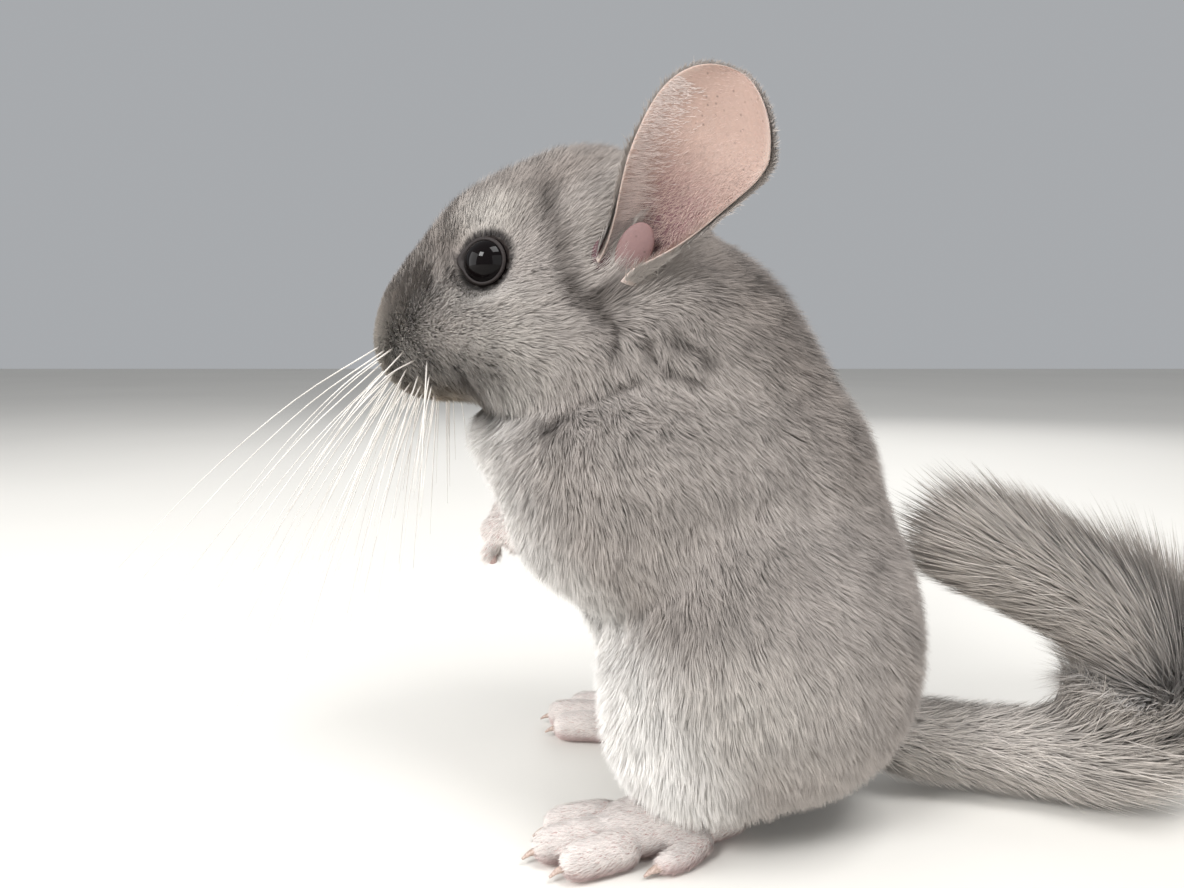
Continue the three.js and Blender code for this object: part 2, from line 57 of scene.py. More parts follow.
# Camera
# A phone held a little above the animal's eye level, 230 mm to its left, looking square at its side.
CAMERA = (230.0, 0.0, 122.0)
LOOK_DOWN = 7.0  # degrees
LENS, SENSOR = 27.03, 36.0  # mm

camera = bpy.data.objects.new("camera", bpy.data.cameras.new("camera"))
camera.data.sensor_width = SENSOR
camera.data.lens = LENS
camera.data.clip_start = 0.01
camera.location = placed(CAMERA)
camera.rotation_euler = (math.radians(90 - LOOK_DOWN), 0, math.radians(90))
bpy.context.collection.objects.link(camera)
bpy.context.scene.camera = camera

# Skin
# The animal's one skin, from the muzzle to the root of the tail, with the undercoat on it. It is a soft
# union of rounded masses, and it lies under the tips of the coat by the coat's depth at each place.
BODY_MASSES = (  # centre, half sizes, tilt about x in degrees, and whether there is one on each side
    ((0, 48, 43), (43, 36, 41), 0, False),
    ((0, 35, 64), (43, 41, 36), 0, False),
    ((0, 24, 91), (39, 47, 31), 0, False),
    ((0, 18, 119), (32, 39, 30), -22, False),
    ((0, -8, 97), (24, 22, 13), 0, False),
    ((25, 38, 46), (24, 34, 31), 0, True),
    ((26, 24, 28), (17, 19, 21), 0, True),
    ((22, 3, 88), (19, 22, 22.5), 0, True),
    ((21, 2, 72.5), (13, 15, 11), 0, True),
)
HEAD_MASSES = (
    ((0, -4, 141), (25, 31, 27), 24, False),
    ((0, -22, 139), (21, 22, 20), 30, False),
    ((0, -35.5, 127), (14, 18.5, 17), 22, False),
    ((7, -42.5, 119), (9.5, 10.5, 10), 0, True),
    ((14, -16, 124), (17.5, 22, 19), 0, True),
    ((13, -5, 117), (19, 24, 15), 0, True),
    ((0, -34, 114), (10, 15, 8), 0, False),
    ((10, -32, 124), (14, 15, 14), 0, True),
)
BODY_BLEND, HEAD_BLEND, NECK_BLEND = 16.0, 8.0, 9.0
BODY_AXIS = ((0, 46, 38), (0, 12, 112))
HEAD_AXIS = ((0, 0, 138), (0, -34, 126))
SKIN_VOXEL = 1.25
NOSE = np.array([0.0, -53.0, 122.0])
EYE_AXIS = np.array([0.935, -0.332, 0.121])
NECK_SLOPE, NECK_Y, NECK_Z, NECK_TURN = math.radians(28), -33, 103, 16  # the plane between head and body
NOSE_COAT, CROWN_COAT, BODY_COAT, FLOOR_LESS = 0.8, 2.6, 3.8, 1.2  # depths of the coat
RAY_STEP, RAY_END = 1.5, 120
# Creases on each side: points (y, z), how wide they are, how deep, and how much painted shade
# darkens the fur in them.
CREASES = (
    (((-8, 132), (-5, 129), (0, 128.5)), 2.6, 1.3, 0.5),
    (((-1, 126), (2.5, 124), (3, 120.5)), 1.7, 1.8, 0.8),
    (((10, 122), (12.5, 118.5), (16.5, 115.5), (21.5, 114)), 1.6, 1.5, 0.65),
    (((16.5, 123.5), (19.5, 121), (24, 118.5)), 1.9, 1.2, 0.6),
    (((-8, 102.5), (-5.5, 106.5), (-1.5, 109.5), (3.5, 111), (8, 114)), 1.7, 1.7, 0.65),
    (((-31, 103), (-24, 105.5), (-14, 107)), 2.4, 0.9, 0.3),
    # The fold under the foreleg: its painted shade stands for the arm's shadow.
    (((-14, 68), (2, 61.5), (22, 61.5), (38, 69)), 6.5, 1.5, 0.2),
    (((2, 43), (4.5, 54), (12.5, 62)), 6.0, 0.6, 0.05),
)


def unit(v):
    """Each vector divided by its length."""
    return v / np.maximum(np.linalg.norm(v, axis=-1, keepdims=True), 1e-12)


def smooth(t):
    """0 to 1 with level ends: t squared times (3 - 2 t), for t held between 0 and 1."""
    t = np.clip(t, 0, 1)
    return t * t * (3 - 2 * t)


def mix(a, b, t):
    """A straight blend: a plus t times (b - a)."""
    return a + (b - a) * t


def mass_distance(p, centre, half, tilt, paired):
    """Rough distance to an ellipsoid: k0 (k0 - 1) / k1, where k0 is the length of the point over the
    half sizes and k1 that of the point over their squares. A paired mass is met on both sides of x = 0."""
    x = np.abs(p[:, 0]) - centre[0] if paired else p[:, 0]
    dy, dz = p[:, 1] - centre[1], p[:, 2] - centre[2]
    a = math.radians(tilt)
    q = np.stack([x, dy * math.cos(a) + dz * math.sin(a), dz * math.cos(a) - dy * math.sin(a)], 1)
    k0 = np.linalg.norm(q / half, axis=1)
    k1 = np.linalg.norm(q / np.square(half), axis=1)
    return k0 * (k0 - 1) / np.maximum(k1, 1e-9)


def soft_union(a, b, reach):
    """The lesser of a and b, less h squared times reach / 4, where h falls from 1 to 0 as they part."""
    h = np.maximum(reach - np.abs(a - b), 0) / reach
    return np.minimum(a, b) - h * h * reach / 4


def coat_field(p):
    """Distance to the tips of the coat, below zero inside: the soft union of all the masses."""
    body, head = np.full(len(p), 1e3), np.full(len(p), 1e3)
    for mass in BODY_MASSES:
        body = soft_union(body, mass_distance(p, *mass), BODY_BLEND)
    for mass in HEAD_MASSES:
        head = soft_union(head, mass_distance(p, *mass), HEAD_BLEND)
    return soft_union(body, head, NECK_BLEND)


def gradient(p, step=0.05):
    """Slope of the coat field by differences of one step each way along x, y and z."""
    across = [coat_field(p + step * axis) - coat_field(p - step * axis) for axis in np.eye(3)]
    return np.stack(across, 1) / (2 * step)


def band(p, line, width):
    """exp(-(distance / width) squared) from a line of points (y, z), away from the midline."""
    nearest = np.full(len(p), 1e3)
    for a, b in zip(np.array(line[:-1], float), np.array(line[1:], float)):
        t = np.clip((p[:, 1:] - a) @ (b - a) / ((b - a) @ (b - a)), 0, 1)
        nearest = np.minimum(nearest, np.linalg.norm(p[:, 1:] - a - t[:, None] * (b - a), axis=1))
    return np.exp(-((nearest / width) ** 2)) * smooth((np.abs(p[:, 0]) - 5) / 10)


def crease(p):
    """Sum over the creases of depth times the band about each."""
    return sum(depth * band(p, line, width) for line, width, depth, _ in CREASES)


def head_share(p):
    """1 on the head and 0 on the body, turning over 16 mm across the sloping plane of the neck."""
    height = (p[:, 2] - NECK_Z) * math.cos(NECK_SLOPE) - (p[:, 1] - NECK_Y) * math.sin(NECK_SLOPE)
    return smooth(height / NECK_TURN + 0.5)


def coat_depth(p):
    """Depth of the coat: it grows from 5 to 50 mm away from the nose, is deepest on the body, and is
    less over the last 14 mm down to the floor."""
    far = np.linalg.norm(p - NOSE, axis=1)
    on_face = mix(NOSE_COAT, CROWN_COAT, smooth((far - 5) / 45))
    return mix(BODY_COAT, on_face, head_share(p)) - FLOOR_LESS * smooth((14 - p[:, 2]) / 14)


def cast(start, way, level):
    """Points where rays leave the level of the field: marched in steps, then closed in on by halving
    the last step 16 times."""
    near = np.zeros(len(start))
    inside = np.ones(len(start), bool)
    for far in np.arange(RAY_STEP, RAY_END, RAY_STEP):
        inside &= coat_field(start + way * far) < level
        near = np.where(inside, far, near)
    far = near + RAY_STEP
    for _ in range(16):
        middle = (near + far) / 2
        within = coat_field(start + way * middle[:, None]) < level
        near, far = np.where(within, middle, near), np.where(within, far, middle)
    return start + way * near[:, None]


def wrapped(start, end, along, around, level):
    """A closed shell of rays whose foot glides from start to end while they turn from one pole to the
    other: way = (side cos u + up sin u) sin v - axis cos v."""
    start, end = np.array(start, float), np.array(end, float)
    share = np.linspace(0, 1, along + 1)[:, None, None]
    turn = 2 * np.pi * (np.arange(around) + 0.5)[None, :, None] / around
    axis = unit(end - start)
    side = np.array([1.0, 0, 0])
    out = side * np.cos(turn) + np.cross(axis, side) * np.sin(turn)
    way = out * np.sin(np.pi * share) - axis * np.cos(np.pi * share)
    foot = start + (end - start) * smooth(share) + 0 * way
    return cast(foot.reshape(-1, 3), way.reshape(-1, 3), level).reshape(along + 1, around, 3)


def ring_quads(rows, columns):
    """Quads between neighbouring rings, each closed on itself."""
    i, j = np.meshgrid(np.arange(rows - 1), np.arange(columns), indexing="ij")
    k = (j + 1) % columns
    a, b, c, d = i * columns + j, i * columns + k, (i + 1) * columns + k, (i + 1) * columns + j
    return np.stack([a, b, c, d], -1).reshape(-1, 4)


def made_mesh(name, points, faces):
    """A mesh from points in metres and an array of faces, all with the same number of corners."""
    mesh = bpy.data.meshes.new(name)
    count, corners = faces.shape
    mesh.vertices.add(len(points))
    mesh.vertices.foreach_set("co", np.asarray(points, np.float32).ravel())
    mesh.loops.add(count * corners)
    mesh.loops.foreach_set("vertex_index", faces.astype(np.int32).ravel())
    mesh.polygons.add(count)
    mesh.polygons.foreach_set("loop_start", np.arange(count, dtype=np.int32) * corners)
    mesh.update(calc_edges=True)
    return mesh


def even_shell(shells, voxel):
    """Closed grids of rings joined and covered again with even quads one voxel wide."""
    points, faces, count = [], [], 0
    for grid in shells:
        points.append(grid.reshape(-1, 3))
        faces.append(ring_quads(*grid.shape[:2]) + count)
        count += len(points[-1])
    mesh = made_mesh("shell", np.vstack(points) / 1000, np.vstack(faces))
    shell = bpy.data.objects.new("shell", mesh)
    bpy.context.collection.objects.link(shell)
    remesh = shell.modifiers.new("even", "REMESH")
    remesh.mode = "VOXEL"
    remesh.voxel_size = voxel / 1000
    done = shell.evaluated_get(bpy.context.evaluated_depsgraph_get()).to_mesh()
    co = np.empty(len(done.vertices) * 3, np.float32)
    done.vertices.foreach_get("co", co)
    corners = np.empty(len(done.loops), np.int32)
    done.loops.foreach_get("vertex_index", corners)
    bpy.data.objects.remove(shell)
    return co.reshape(-1, 3).astype(float) * 1000, corners.reshape(-1, 4)


def linear(code):
    """An sRGB hex colour as linear red, green and blue."""
    parts = np.array([int(code[k : k + 2], 16) / 255 for k in (1, 3, 5)])
    return np.where(parts <= 0.04045, parts / 12.92, ((parts + 0.055) / 1.055) ** 2.4)


def near(p, centre, size):
    """exp(-d squared), where d is the distance from the centre over the size along x, y and z. The
    centre is met on both sides."""
    q = np.stack([np.abs(p[:, 0]), p[:, 1], p[:, 2]], 1)
    return np.exp(-(((q - centre) / size) ** 2).sum(1))


def ripple(p, size, seed):
    """Mean of five sine waves about that long in seeded directions, from -1 to 1."""
    draw = np.random.default_rng(seed)
    ways = unit(draw.normal(size=(5, 3))) * (2 * np.pi / size) * draw.uniform(0.7, 1.4, (5, 1))
    return np.sin(p @ ways.T + draw.uniform(0, 2 * np.pi, 5)).mean(1)


TAUPE, BACK, PALE, DARK = linear("#a69e98"), linear("#857a72"), linear("#e6e3df"), linear("#463e39")
CREAM, TAN, LID = linear("#c9c4bd"), linear("#b9a993"), linear("#2c2523")
EYE_STRIPE = ((-13, 153), (-11.5, 147), (-10, 141), (-9, 135), (-7.5, 131), (-4, 128.5), (3, 129))
STRIPE_WIDTH = 3.0
# The outline of the body's front and back: y at each height z.
FRONT_Z, FRONT_Y = (0, 13, 27, 41, 55, 75, 95), (10, 8, 5, -1, -9, -24, -30)
BACK_Z, BACK_Y = (0, 27, 60, 82, 100, 128, 146), (80, 86, 86, 78, 67, 46, 31)
FACE_PATCHES = (  # muzzle, over and under the eye, cheek and chin: colour, strength, centre and size
    (CREAM, 0.9, (6, -50, 119), (16, 12, 12)),
    (CREAM, 0.65, (17, -25.5, 148.5), (9, 9, 5)),
    (CREAM, 0.7, (19, -25, 130.5), (9, 9, 3.5)),
    (CREAM, 0.5, (26, -22, 120), (12, 12, 8)),
    (TAN, 0.85, (0, -38, 108), (14, 9, 4)),
)
WHISKER_SHADES = (((12, -40.5, 123), (5, 1.3, 4)), ((15, -33, 125), (6, 1.3, 4)))  # centre and size
THROAT_SHADE = ((10, -27, 104.5), (14, 4.5, 3.5))
EYE_PAINT = 7.7  # radius of the dark skin round the eye


def markings(p):
    """The coat's colour, each paint laid over the last by its share: taupe, darker down the back and
    brow, pale on the chest and belly, cream on the haunch, muzzle, cheek and round the eye, dark behind
    the eye, painted shade under the chin and in the creases. Ripples streak the dark paints and shade the
    whole."""
    colour = np.tile(TAUPE, (len(p), 1))

    def lay(paint, share):
        return mix(colour, paint, np.clip(share, 0, 1)[:, None])

    body = 1 - head_share(p)
    back = p[:, 1] - np.interp(p[:, 2], BACK_Z, BACK_Y)
    brow = p[:, 2] - 150.5 - 0.73 * (p[:, 1] + 24)
    colour = lay(BACK, 0.85 * smooth((back + 34) / 34))
    colour = lay(BACK, 0.7 * (1 - body) * smooth((brow + 14) / 11))
    pale_edge = np.interp(p[:, 2], FRONT_Z, FRONT_Y) + mix(34, 24, smooth((p[:, 2] - 50) / 40))
    colour = lay(PALE, body * smooth((pale_edge - p[:, 1]) / 25))
    colour = lay(CREAM, 0.5 * near(p, (44, 30, 44), (22, 17, 11)))
    colour = lay(BACK, 0.6 * smooth((22 - p[:, 2]) / 14) * smooth((p[:, 1] - 18) / 16))
    for paint, strength, centre, size in FACE_PATCHES:
        colour = lay(paint, strength * near(p, centre, size))
    streak = 0.9 + 0.35 * ripple(p, 2.6, 6)
    colour = lay(DARK, 0.74 * band(p, EYE_STRIPE, STRIPE_WIDTH) * streak)
    for centre, size in WHISKER_SHADES:
        colour = lay(DARK, 0.3 * near(p, centre, size) * streak)
    # Painted shade under the chin.
    colour = lay(DARK, 0.75 * near(p, *THROAT_SHADE))
    # Painted shade in the creases, each crease darkening the fur by its own share.
    for line, width, _, dark in CREASES:
        colour = lay(DARK, dark * band(p, line, width) * streak)
    folded_eye = np.stack([np.abs(p[:, 0]), p[:, 1], p[:, 2]], 1) - EYE
    colour = lay(LID, smooth((EYE_PAINT - np.linalg.norm(folded_eye, axis=1)) / 1.3))
    colour = lay(LID, near(p, (16, -31.3, 139), (4, 2.4, 1.3)))
    flow = p * (1, 1, 0.5)
    shade = 1 + 0.1 * ripple(flow, 5, 3) + 0.12 * ripple(p, 16, 4) + 0.14 * ripple(flow, 2.6, 5)
    return np.clip(colour * shade[:, None], 0, 1)


def painted(mesh, colour, name="coat_colour"):
    """Stores a linear colour at each point of the mesh."""
    rgba = np.concatenate([colour, np.ones((len(colour), 1))], 1)
    mesh.attributes.new(name, "FLOAT_COLOR", "POINT").data.foreach_set("color", rgba.ravel())


def add_node(tree, kind, settings=(), **inputs):
    """One shader node, with its settings, and inputs that are values or sockets to link from."""
    node = tree.nodes.new(kind)
    for key, value in dict(settings).items():
        setattr(node, key, value)
    for key, value in inputs.items():
        socket = node.inputs[int(key[1:]) if key[0] == "_" else key.replace("_", " ")]
        if isinstance(value, bpy.types.NodeSocket):
            tree.links.new(value, socket)
        else:
            socket.default_value = value
    return node


def new_material(name):
    """An empty node material with its output, ready for a shader."""
    made = bpy.data.materials.new(name)
    made.use_nodes = True
    made.node_tree.nodes.clear()
    return made, made.node_tree


def set_shader(tree, shader):
    """The shader goes to the material's output."""
    out = add_node(tree, "ShaderNodeOutputMaterial")
    tree.links.new(shader.outputs[0], out.inputs["Surface"])


def finish_piece(name, mesh, material, nodes=()):
    """The mesh as an object of the frame, with its material, on the animal's one body."""
    mesh.materials.append(material)
    mesh.polygons.foreach_set("use_smooth", np.ones(len(mesh.polygons), bool))
    made = bpy.data.objects.new(name, mesh)
    bpy.context.collection.objects.link(made)
    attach(made, "root")
    if nodes:
        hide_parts(*nodes)


def mirror_signs(p):
    """(1, 1, 1) for a place on the left side and (-1, 1, 1) for one on the right."""
    return np.where(p[:, :1] < 0, -1.0, 1.0) ** np.array([1, 0, 0])


def socketed(p):
    """Skin near the eye sinks along the eye's axis to 2 mm beyond its centre, and 0.9 mm less for each
    millimetre past 6 mm from the axis, fading out between 8 and 12 mm."""
    mirror = mirror_signs(p)
    q = p * mirror - EYE
    out = q @ EYE_AXIS
    away = np.linalg.norm(q - out[:, None] * EYE_AXIS, axis=1)
    pull = np.maximum(out - 2 - 0.9 * np.maximum(away - 6, 0), 0) * smooth((12 - away) / 4)
    return p - EYE_AXIS * mirror * pull[:, None]


def undercoat_material():
    """Dense underfur seen between the tufts: soft, matt and darker than the tips, like slate-grey roots."""
    material, tree = new_material("underfur")
    place = add_node(tree, "ShaderNodeTexCoord").outputs["Object"]
    colour = add_node(tree, "ShaderNodeAttribute", {"attribute_name": "coat_colour"}).outputs["Color"]
    grain = add_node(tree, "ShaderNodeTexNoise", Vector=place, Scale=900.0, Detail=4.0)
    deep = add_node(tree, "ShaderNodeMapRange", Value=grain.outputs["Fac"], To_Min=0.35, To_Max=0.8)
    tint = add_node(tree, "ShaderNodeVectorMath", {"operation": "SCALE"}, _0=colour, Scale=deep.outputs[0])
    bump = add_node(tree, "ShaderNodeBump", Height=grain.outputs["Fac"], Strength=0.6, Distance=0.0006)
    shader = add_node(
        tree, "ShaderNodeBsdfPrincipled", Base_Color=tint.outputs[0], Normal=bump.outputs[0],
        Roughness=0.95, Specular_IOR_Level=0.15,
    )
    set_shader(tree, shader)
    return material


skin_points, skin_quads = even_shell(
    [wrapped(*BODY_AXIS, 60, 90, -2.5), wrapped(*HEAD_AXIS, 60, 90, -1.5)], SKIN_VOXEL
)
for _ in range(5):
    slope = gradient(skin_points)
    level = -coat_depth(skin_points) - crease(skin_points)
    excess = (coat_field(skin_points) - level) / np.maximum((slope**2).sum(1), 0.2)
    skin_points = skin_points - slope * np.clip(excess, -2, 2)[:, None]
skin_points = socketed(skin_points)
skin_points[:, 2] = np.maximum(skin_points[:, 2], 0.4)
skin_mesh = made_mesh("skin", placed(skin_points), skin_quads)
painted(skin_mesh, markings(skin_points))
underfur = undercoat_material()
BODY_NODES = (
    "torso", "neck", "head", "muzzle", "foreleg_left", "foreleg_right", "thigh_left", "thigh_right",
)
finish_piece("skin", skin_mesh, underfur, BODY_NODES)

# Coat
# Plush fur in fine tufts that grow from the skin, lean back along the body and overlap like tiles. Each
# tuft is one three-cornered blade, broad at the root and pointed, with a slate root and a pale tip. Real
# hair is too fine to show, so a blade stands for a tuft of hairs.
TUFTS = 800000
RISE = 36.0  # degrees from the skin
EAR_ROOT = np.array([21.0, 9.0, 137.0])
EAR_WAY = unit(np.array([0.4, 0.47, 0.78]))  # from the root to the tip of the left ear
EAR_CLEAR, EAR_FOOT = 4.4, -9  # no tuft nearer the ear's axis than this, above this height along it
EYE_CLEAR = 6.4
FACE_Y, TRUNK_Z, CHEST_Y = -22, 62, 22  # where the coat is parted into pieces
HEAD_MIDDLE, TRUNK_MIDDLE = (0, -15, 135), (0, 30, 65)


def ear_nearness(p):
    """How close a place is to the ear's root, exp(-((r - 4) / 4) squared) for a distance r from its
    axis, then that distance, and the height along the axis."""
    folded = np.stack([np.abs(p[:, 0]), p[:, 1], p[:, 2]], 1) - EAR_ROOT
    along = folded @ EAR_WAY
    away = np.linalg.norm(folded - along[:, None] * EAR_WAY - (1.5, -1, 0), axis=1)
    close = np.exp(-((np.maximum(away - 4, 0) / 4) ** 2))
    return np.where(along > EAR_FOOT, close, 0), away, along


def lie_of_coat(p, normal):
    """The way the fur points: back from the nose on the head, down and back on the body, parting round
    the eye, up round the ear's root and stirred by ripples, then laid flat on the skin by taking off the
    part along its normal."""
    head = head_share(p)[:, None]
    body_way = np.tile([0.0, 0.35, -1.0], (len(p), 1))
    body_way[:, 1] -= 0.5 * smooth((40 - p[:, 2]) / 40) * (p[:, 1] < 25)
    head_way = unit(p - NOSE + (0, 6, 0))
    eye = p - EYE * mirror_signs(p)
    away = unit(eye) * 1.6 * np.exp(-np.maximum(np.linalg.norm(eye, axis=1, keepdims=True) - 7, 0) / 3)
    way = mix(body_way, head_way + away, head)
    stir = np.stack([ripple(p, 9, 11 + k) + 0.8 * ripple(p, 4, 21 + k) for k in range(3)], 1)
    way = way + 0.45 * stir * mix(1, 0.6, head)
    way = mix(way, 1.6 * EAR_WAY * mirror_signs(p), 0.85 * ear_nearness(p)[0][:, None])
    return unit(way - normal * (way * normal).sum(1, keepdims=True))


def scattered(points, quads, count, weight, draw):
    """Random places on the quads, drawn in step with area times weight, two triangles to a quad."""
    corners = points[np.vstack([quads[:, [0, 1, 2]], quads[:, [0, 2, 3]]])]
    edges = corners[:, 1:] - corners[:, :1]
    area = np.linalg.norm(np.cross(edges[:, 0], edges[:, 1]), axis=1)
    total = np.cumsum(area * weight(corners.mean(1)))
    pick = corners[np.searchsorted(total, draw.random(count) * total[-1])]
    u, v = draw.random((2, count, 1))
    flip = u + v > 1
    u, v = np.where(flip, 1 - u, u), np.where(flip, 1 - v, v)
    return pick[:, 0] + u * (pick[:, 1] - pick[:, 0]) + v * (pick[:, 2] - pick[:, 0])


def tuft_points(root, normal, way, length, width, rise, draw):
    """Three points a tuft, two at the root and one at the tip, which stands off by the rise angle a:
    tip = root + length (way cos a + normal sin a). The blade is rolled a little about its way."""
    a = np.radians(rise) * draw.uniform(0.75, 1.3, (len(root), 1))
    roll = draw.normal(0, 0.3, (len(root), 1))
    side = unit(np.cross(way, normal) + roll * normal)
    tip = root + length[:, None] * (way * np.cos(a) + normal * np.sin(a))
    w = np.broadcast_to(width, len(root))[:, None]
    return np.stack([root + side * w, tip, root - side * w], 1)


PATCH = np.array([[-1.5, -1.5], [0, 1.5], [1.5, -1.5]]) / 1000  # a tuft's own corner of the unwrap


def blade_mesh(name, blades, colour, unwrap, normal):
    """Tufts as one mesh, with their colour, how far along each point is, and OFBake: a patch 0.003
    across for each tuft, at its root's place on the skin's unwrap. They are lit much as the skin under
    them is: the shading normal is that of the skin plus 0.65 of the blade's own, made a unit."""
    count = len(blades)
    mesh = made_mesh(name, placed(blades.reshape(-1, 3)), np.arange(3 * count).reshape(-1, 3))
    painted(mesh, np.repeat(colour, 3, axis=0))
    along = np.tile([0, 1.0, 0], count)
    mesh.attributes.new("along", "FLOAT", "POINT").data.foreach_set("value", along)
    place = unwrap[:, None] * 0.994 + 0.003 + PATCH[None]
    mesh.uv_layers.new(name="OFBake").data.foreach_set("uv", place.ravel())
    own = unit(np.cross(blades[:, 1] - blades[:, 0], blades[:, 2] - blades[:, 0]))
    own = own * np.sign((own * normal).sum(1, keepdims=True) + 1e-9)
    mesh.polygons.foreach_set("use_smooth", np.ones(count, bool))
    mesh.normals_split_custom_set_from_vertices(np.repeat(unit(normal + 0.65 * own), 3, axis=0))
    return mesh


def round_unwrap(p, centre):
    """Longitude and latitude of each place about a centre, both from 0 to 1."""
    q = unit(p - np.array(centre, float))
    return np.stack([np.arctan2(q[:, 0], -q[:, 1]) / (2 * np.pi) + 0.5, np.arccos(q[:, 2]) / np.pi], 1)


def fur_material(name, root, tip):
    """Soft guard hair: matt, with a sheen along its edges, dark at the root and pale at the tip."""
    material, tree = new_material(name)
    place = add_node(tree, "ShaderNodeTexCoord").outputs["Object"]
    colour = add_node(tree, "ShaderNodeAttribute", {"attribute_name": "coat_colour"}).outputs["Color"]
    along = add_node(tree, "ShaderNodeAttribute", {"attribute_name": "along"}).outputs["Fac"]
    clump = add_node(tree, "ShaderNodeTexNoise", Vector=place, Scale=260.0, Detail=3.0)
    fade = add_node(tree, "ShaderNodeMapRange", Value=along, To_Min=root, To_Max=tip)
    vary = add_node(tree, "ShaderNodeMapRange", Value=clump.outputs["Fac"], To_Min=0.82, To_Max=1.18)
    both = add_node(
        tree, "ShaderNodeMath", {"operation": "MULTIPLY"}, _0=fade.outputs[0], _1=vary.outputs[0]
    )
    tint = add_node(tree, "ShaderNodeVectorMath", {"operation": "SCALE"}, _0=colour, Scale=both.outputs[0])
    shader = add_node(
        tree, "ShaderNodeBsdfPrincipled", Base_Color=tint.outputs[0], Roughness=0.85,
        Specular_IOR_Level=0.2, Sheen_Weight=0.25, Sheen_Roughness=0.6,
    )
    set_shader(tree, shader)
    return material


draw = np.random.default_rng(5)
# Short fur grows a little closer: density goes with the coat's depth to the power -0.3.
roots = scattered(
    skin_points, skin_quads, TUFTS,
    lambda p: (BODY_COAT / np.maximum(coat_depth(p), NOSE_COAT)) ** 0.3, draw,
)
normals = unit(gradient(roots))
to_eye = np.linalg.norm(roots - EYE * mirror_signs(roots), axis=1)
at_ear, from_ear, up_from_ear = ear_nearness(roots)
off_ear = (from_ear > EAR_CLEAR) | (up_from_ear < EAR_FOOT)
kept = (to_eye > EYE_CLEAR) & off_ear & (roots[:, 2] > 0.8)
roots, normals, to_eye, at_ear = roots[kept], normals[kept], to_eye[kept], at_ear[kept]
way = lie_of_coat(roots, normals)
# A tuft is long enough to reach the tips' surface at its rise, and shorter round the eye.
length = (coat_depth(roots) + 0.3) / math.sin(math.radians(RISE)) * draw.uniform(0.7, 1.2, len(roots))
length *= mix(0.35, 1, smooth((to_eye - 7) / 7)) * (1 + 0.7 * at_ear)
width = 0.16 + 0.002 * length
blades = tuft_points(roots, normals, way, length, width, RISE, draw)
blades[:, :, 2] = np.maximum(blades[:, :, 2], 0.3)
# Tufts differ in tone by a tenth on the body and by up to a quarter on the face.
spread = 0.1 + 0.14 * smooth((FACE_Y - roots[:, 1:2]) / 14)
tuft_colour = markings(roots) * (1 + spread * draw.uniform(-1, 1, (len(roots), 1)))
coat = fur_material("plush_guard_hair", 0.55, 1.12)
on_head = head_share(roots) > 0.5
for side, label in ((1, "left"), (-1, "right")):
    half = roots[:, 0] * side > 0
    head, trunk = half & on_head, half & ~on_head
    face, high, ahead = roots[:, 1] < FACE_Y, roots[:, 2] >= TRUNK_Z, roots[:, 1] < CHEST_Y
    for name, part, middle in (
        ("coat_face_", head & face, HEAD_MIDDLE),
        ("coat_crown_", head & ~face, HEAD_MIDDLE),
        ("coat_chest_", trunk & high & ahead, TRUNK_MIDDLE),
        ("coat_back_", trunk & high & ~ahead, TRUNK_MIDDLE),
        ("coat_haunch_", trunk & ~high, TRUNK_MIDDLE),
    ):
        unwrap = round_unwrap(roots[part], middle)
        mesh = blade_mesh(name + label, blades[part], tuft_colour[part], unwrap, normals[part])
        finish_piece(name + label, mesh, coat)

# Eyes
# Large, round and black, wet enough to mirror the lights, each in a dark rim of bare lid with a pointed
# front corner.
LID_OUT, LID_RADIUS = 3.0, 5.15  # how far out along the eye's axis the rim lies, and its radius
LID_STEPS, LID_SIDES = 72, 12
BALL_ROWS, BALL_COLUMNS = 33, 48


def sphere_grid(centre, radius, rows, columns):
    """Rings of a sphere: centre + radius (sin v cos u, sin v sin u, cos v)."""
    v = np.linspace(0, np.pi, rows)[:, None]
    u = 2 * np.pi * np.arange(columns)[None] / columns
    shape = np.stack([np.sin(v) * np.cos(u), np.sin(v) * np.sin(u), np.cos(v) + 0 * u], -1)
    return np.array(centre) + radius * shape


def cornea_material():
    """A wet cornea over a nearly black iris: glass smooth, very dark brown beneath."""
    material, tree = new_material("wet_black_eye")
    place = add_node(tree, "ShaderNodeTexCoord").outputs["Object"]
    cloud = add_node(tree, "ShaderNodeTexNoise", Vector=place, Scale=300.0)
    ramp = add_node(tree, "ShaderNodeValToRGB", Fac=cloud.outputs["Fac"])
    ramp.color_ramp.elements[0].color = (*linear("#070506"), 1)
    ramp.color_ramp.elements[1].color = (*linear("#0f0b0b"), 1)
    shader = add_node(
        tree, "ShaderNodeBsdfPrincipled", Base_Color=ramp.outputs[0], Roughness=0.03, IOR=1.36,
        Specular_IOR_Level=0.22,
    )
    set_shader(tree, shader)
    return material


def lid_material():
    """Bare dark skin of the lid's rim: smooth, a little moist and almost black."""
    material, tree = new_material("bare_dark_lid")
    place = add_node(tree, "ShaderNodeTexCoord").outputs["Object"]
    grain = add_node(tree, "ShaderNodeTexNoise", Vector=place, Scale=1500.0, Detail=3.0)
    ramp = add_node(tree, "ShaderNodeValToRGB", Fac=grain.outputs["Fac"])
    ramp.color_ramp.elements[0].color = (*linear("#191413"), 1)
    ramp.color_ramp.elements[1].color = (*linear("#2b2321"), 1)
    bump = add_node(tree, "ShaderNodeBump", Height=grain.outputs["Fac"], Strength=0.4, Distance=0.0002)
    shader = add_node(
        tree, "ShaderNodeBsdfPrincipled", Base_Color=ramp.outputs[0], Normal=bump.outputs[0],
        Roughness=0.6, Specular_IOR_Level=0.3,
    )
    set_shader(tree, shader)
    return material


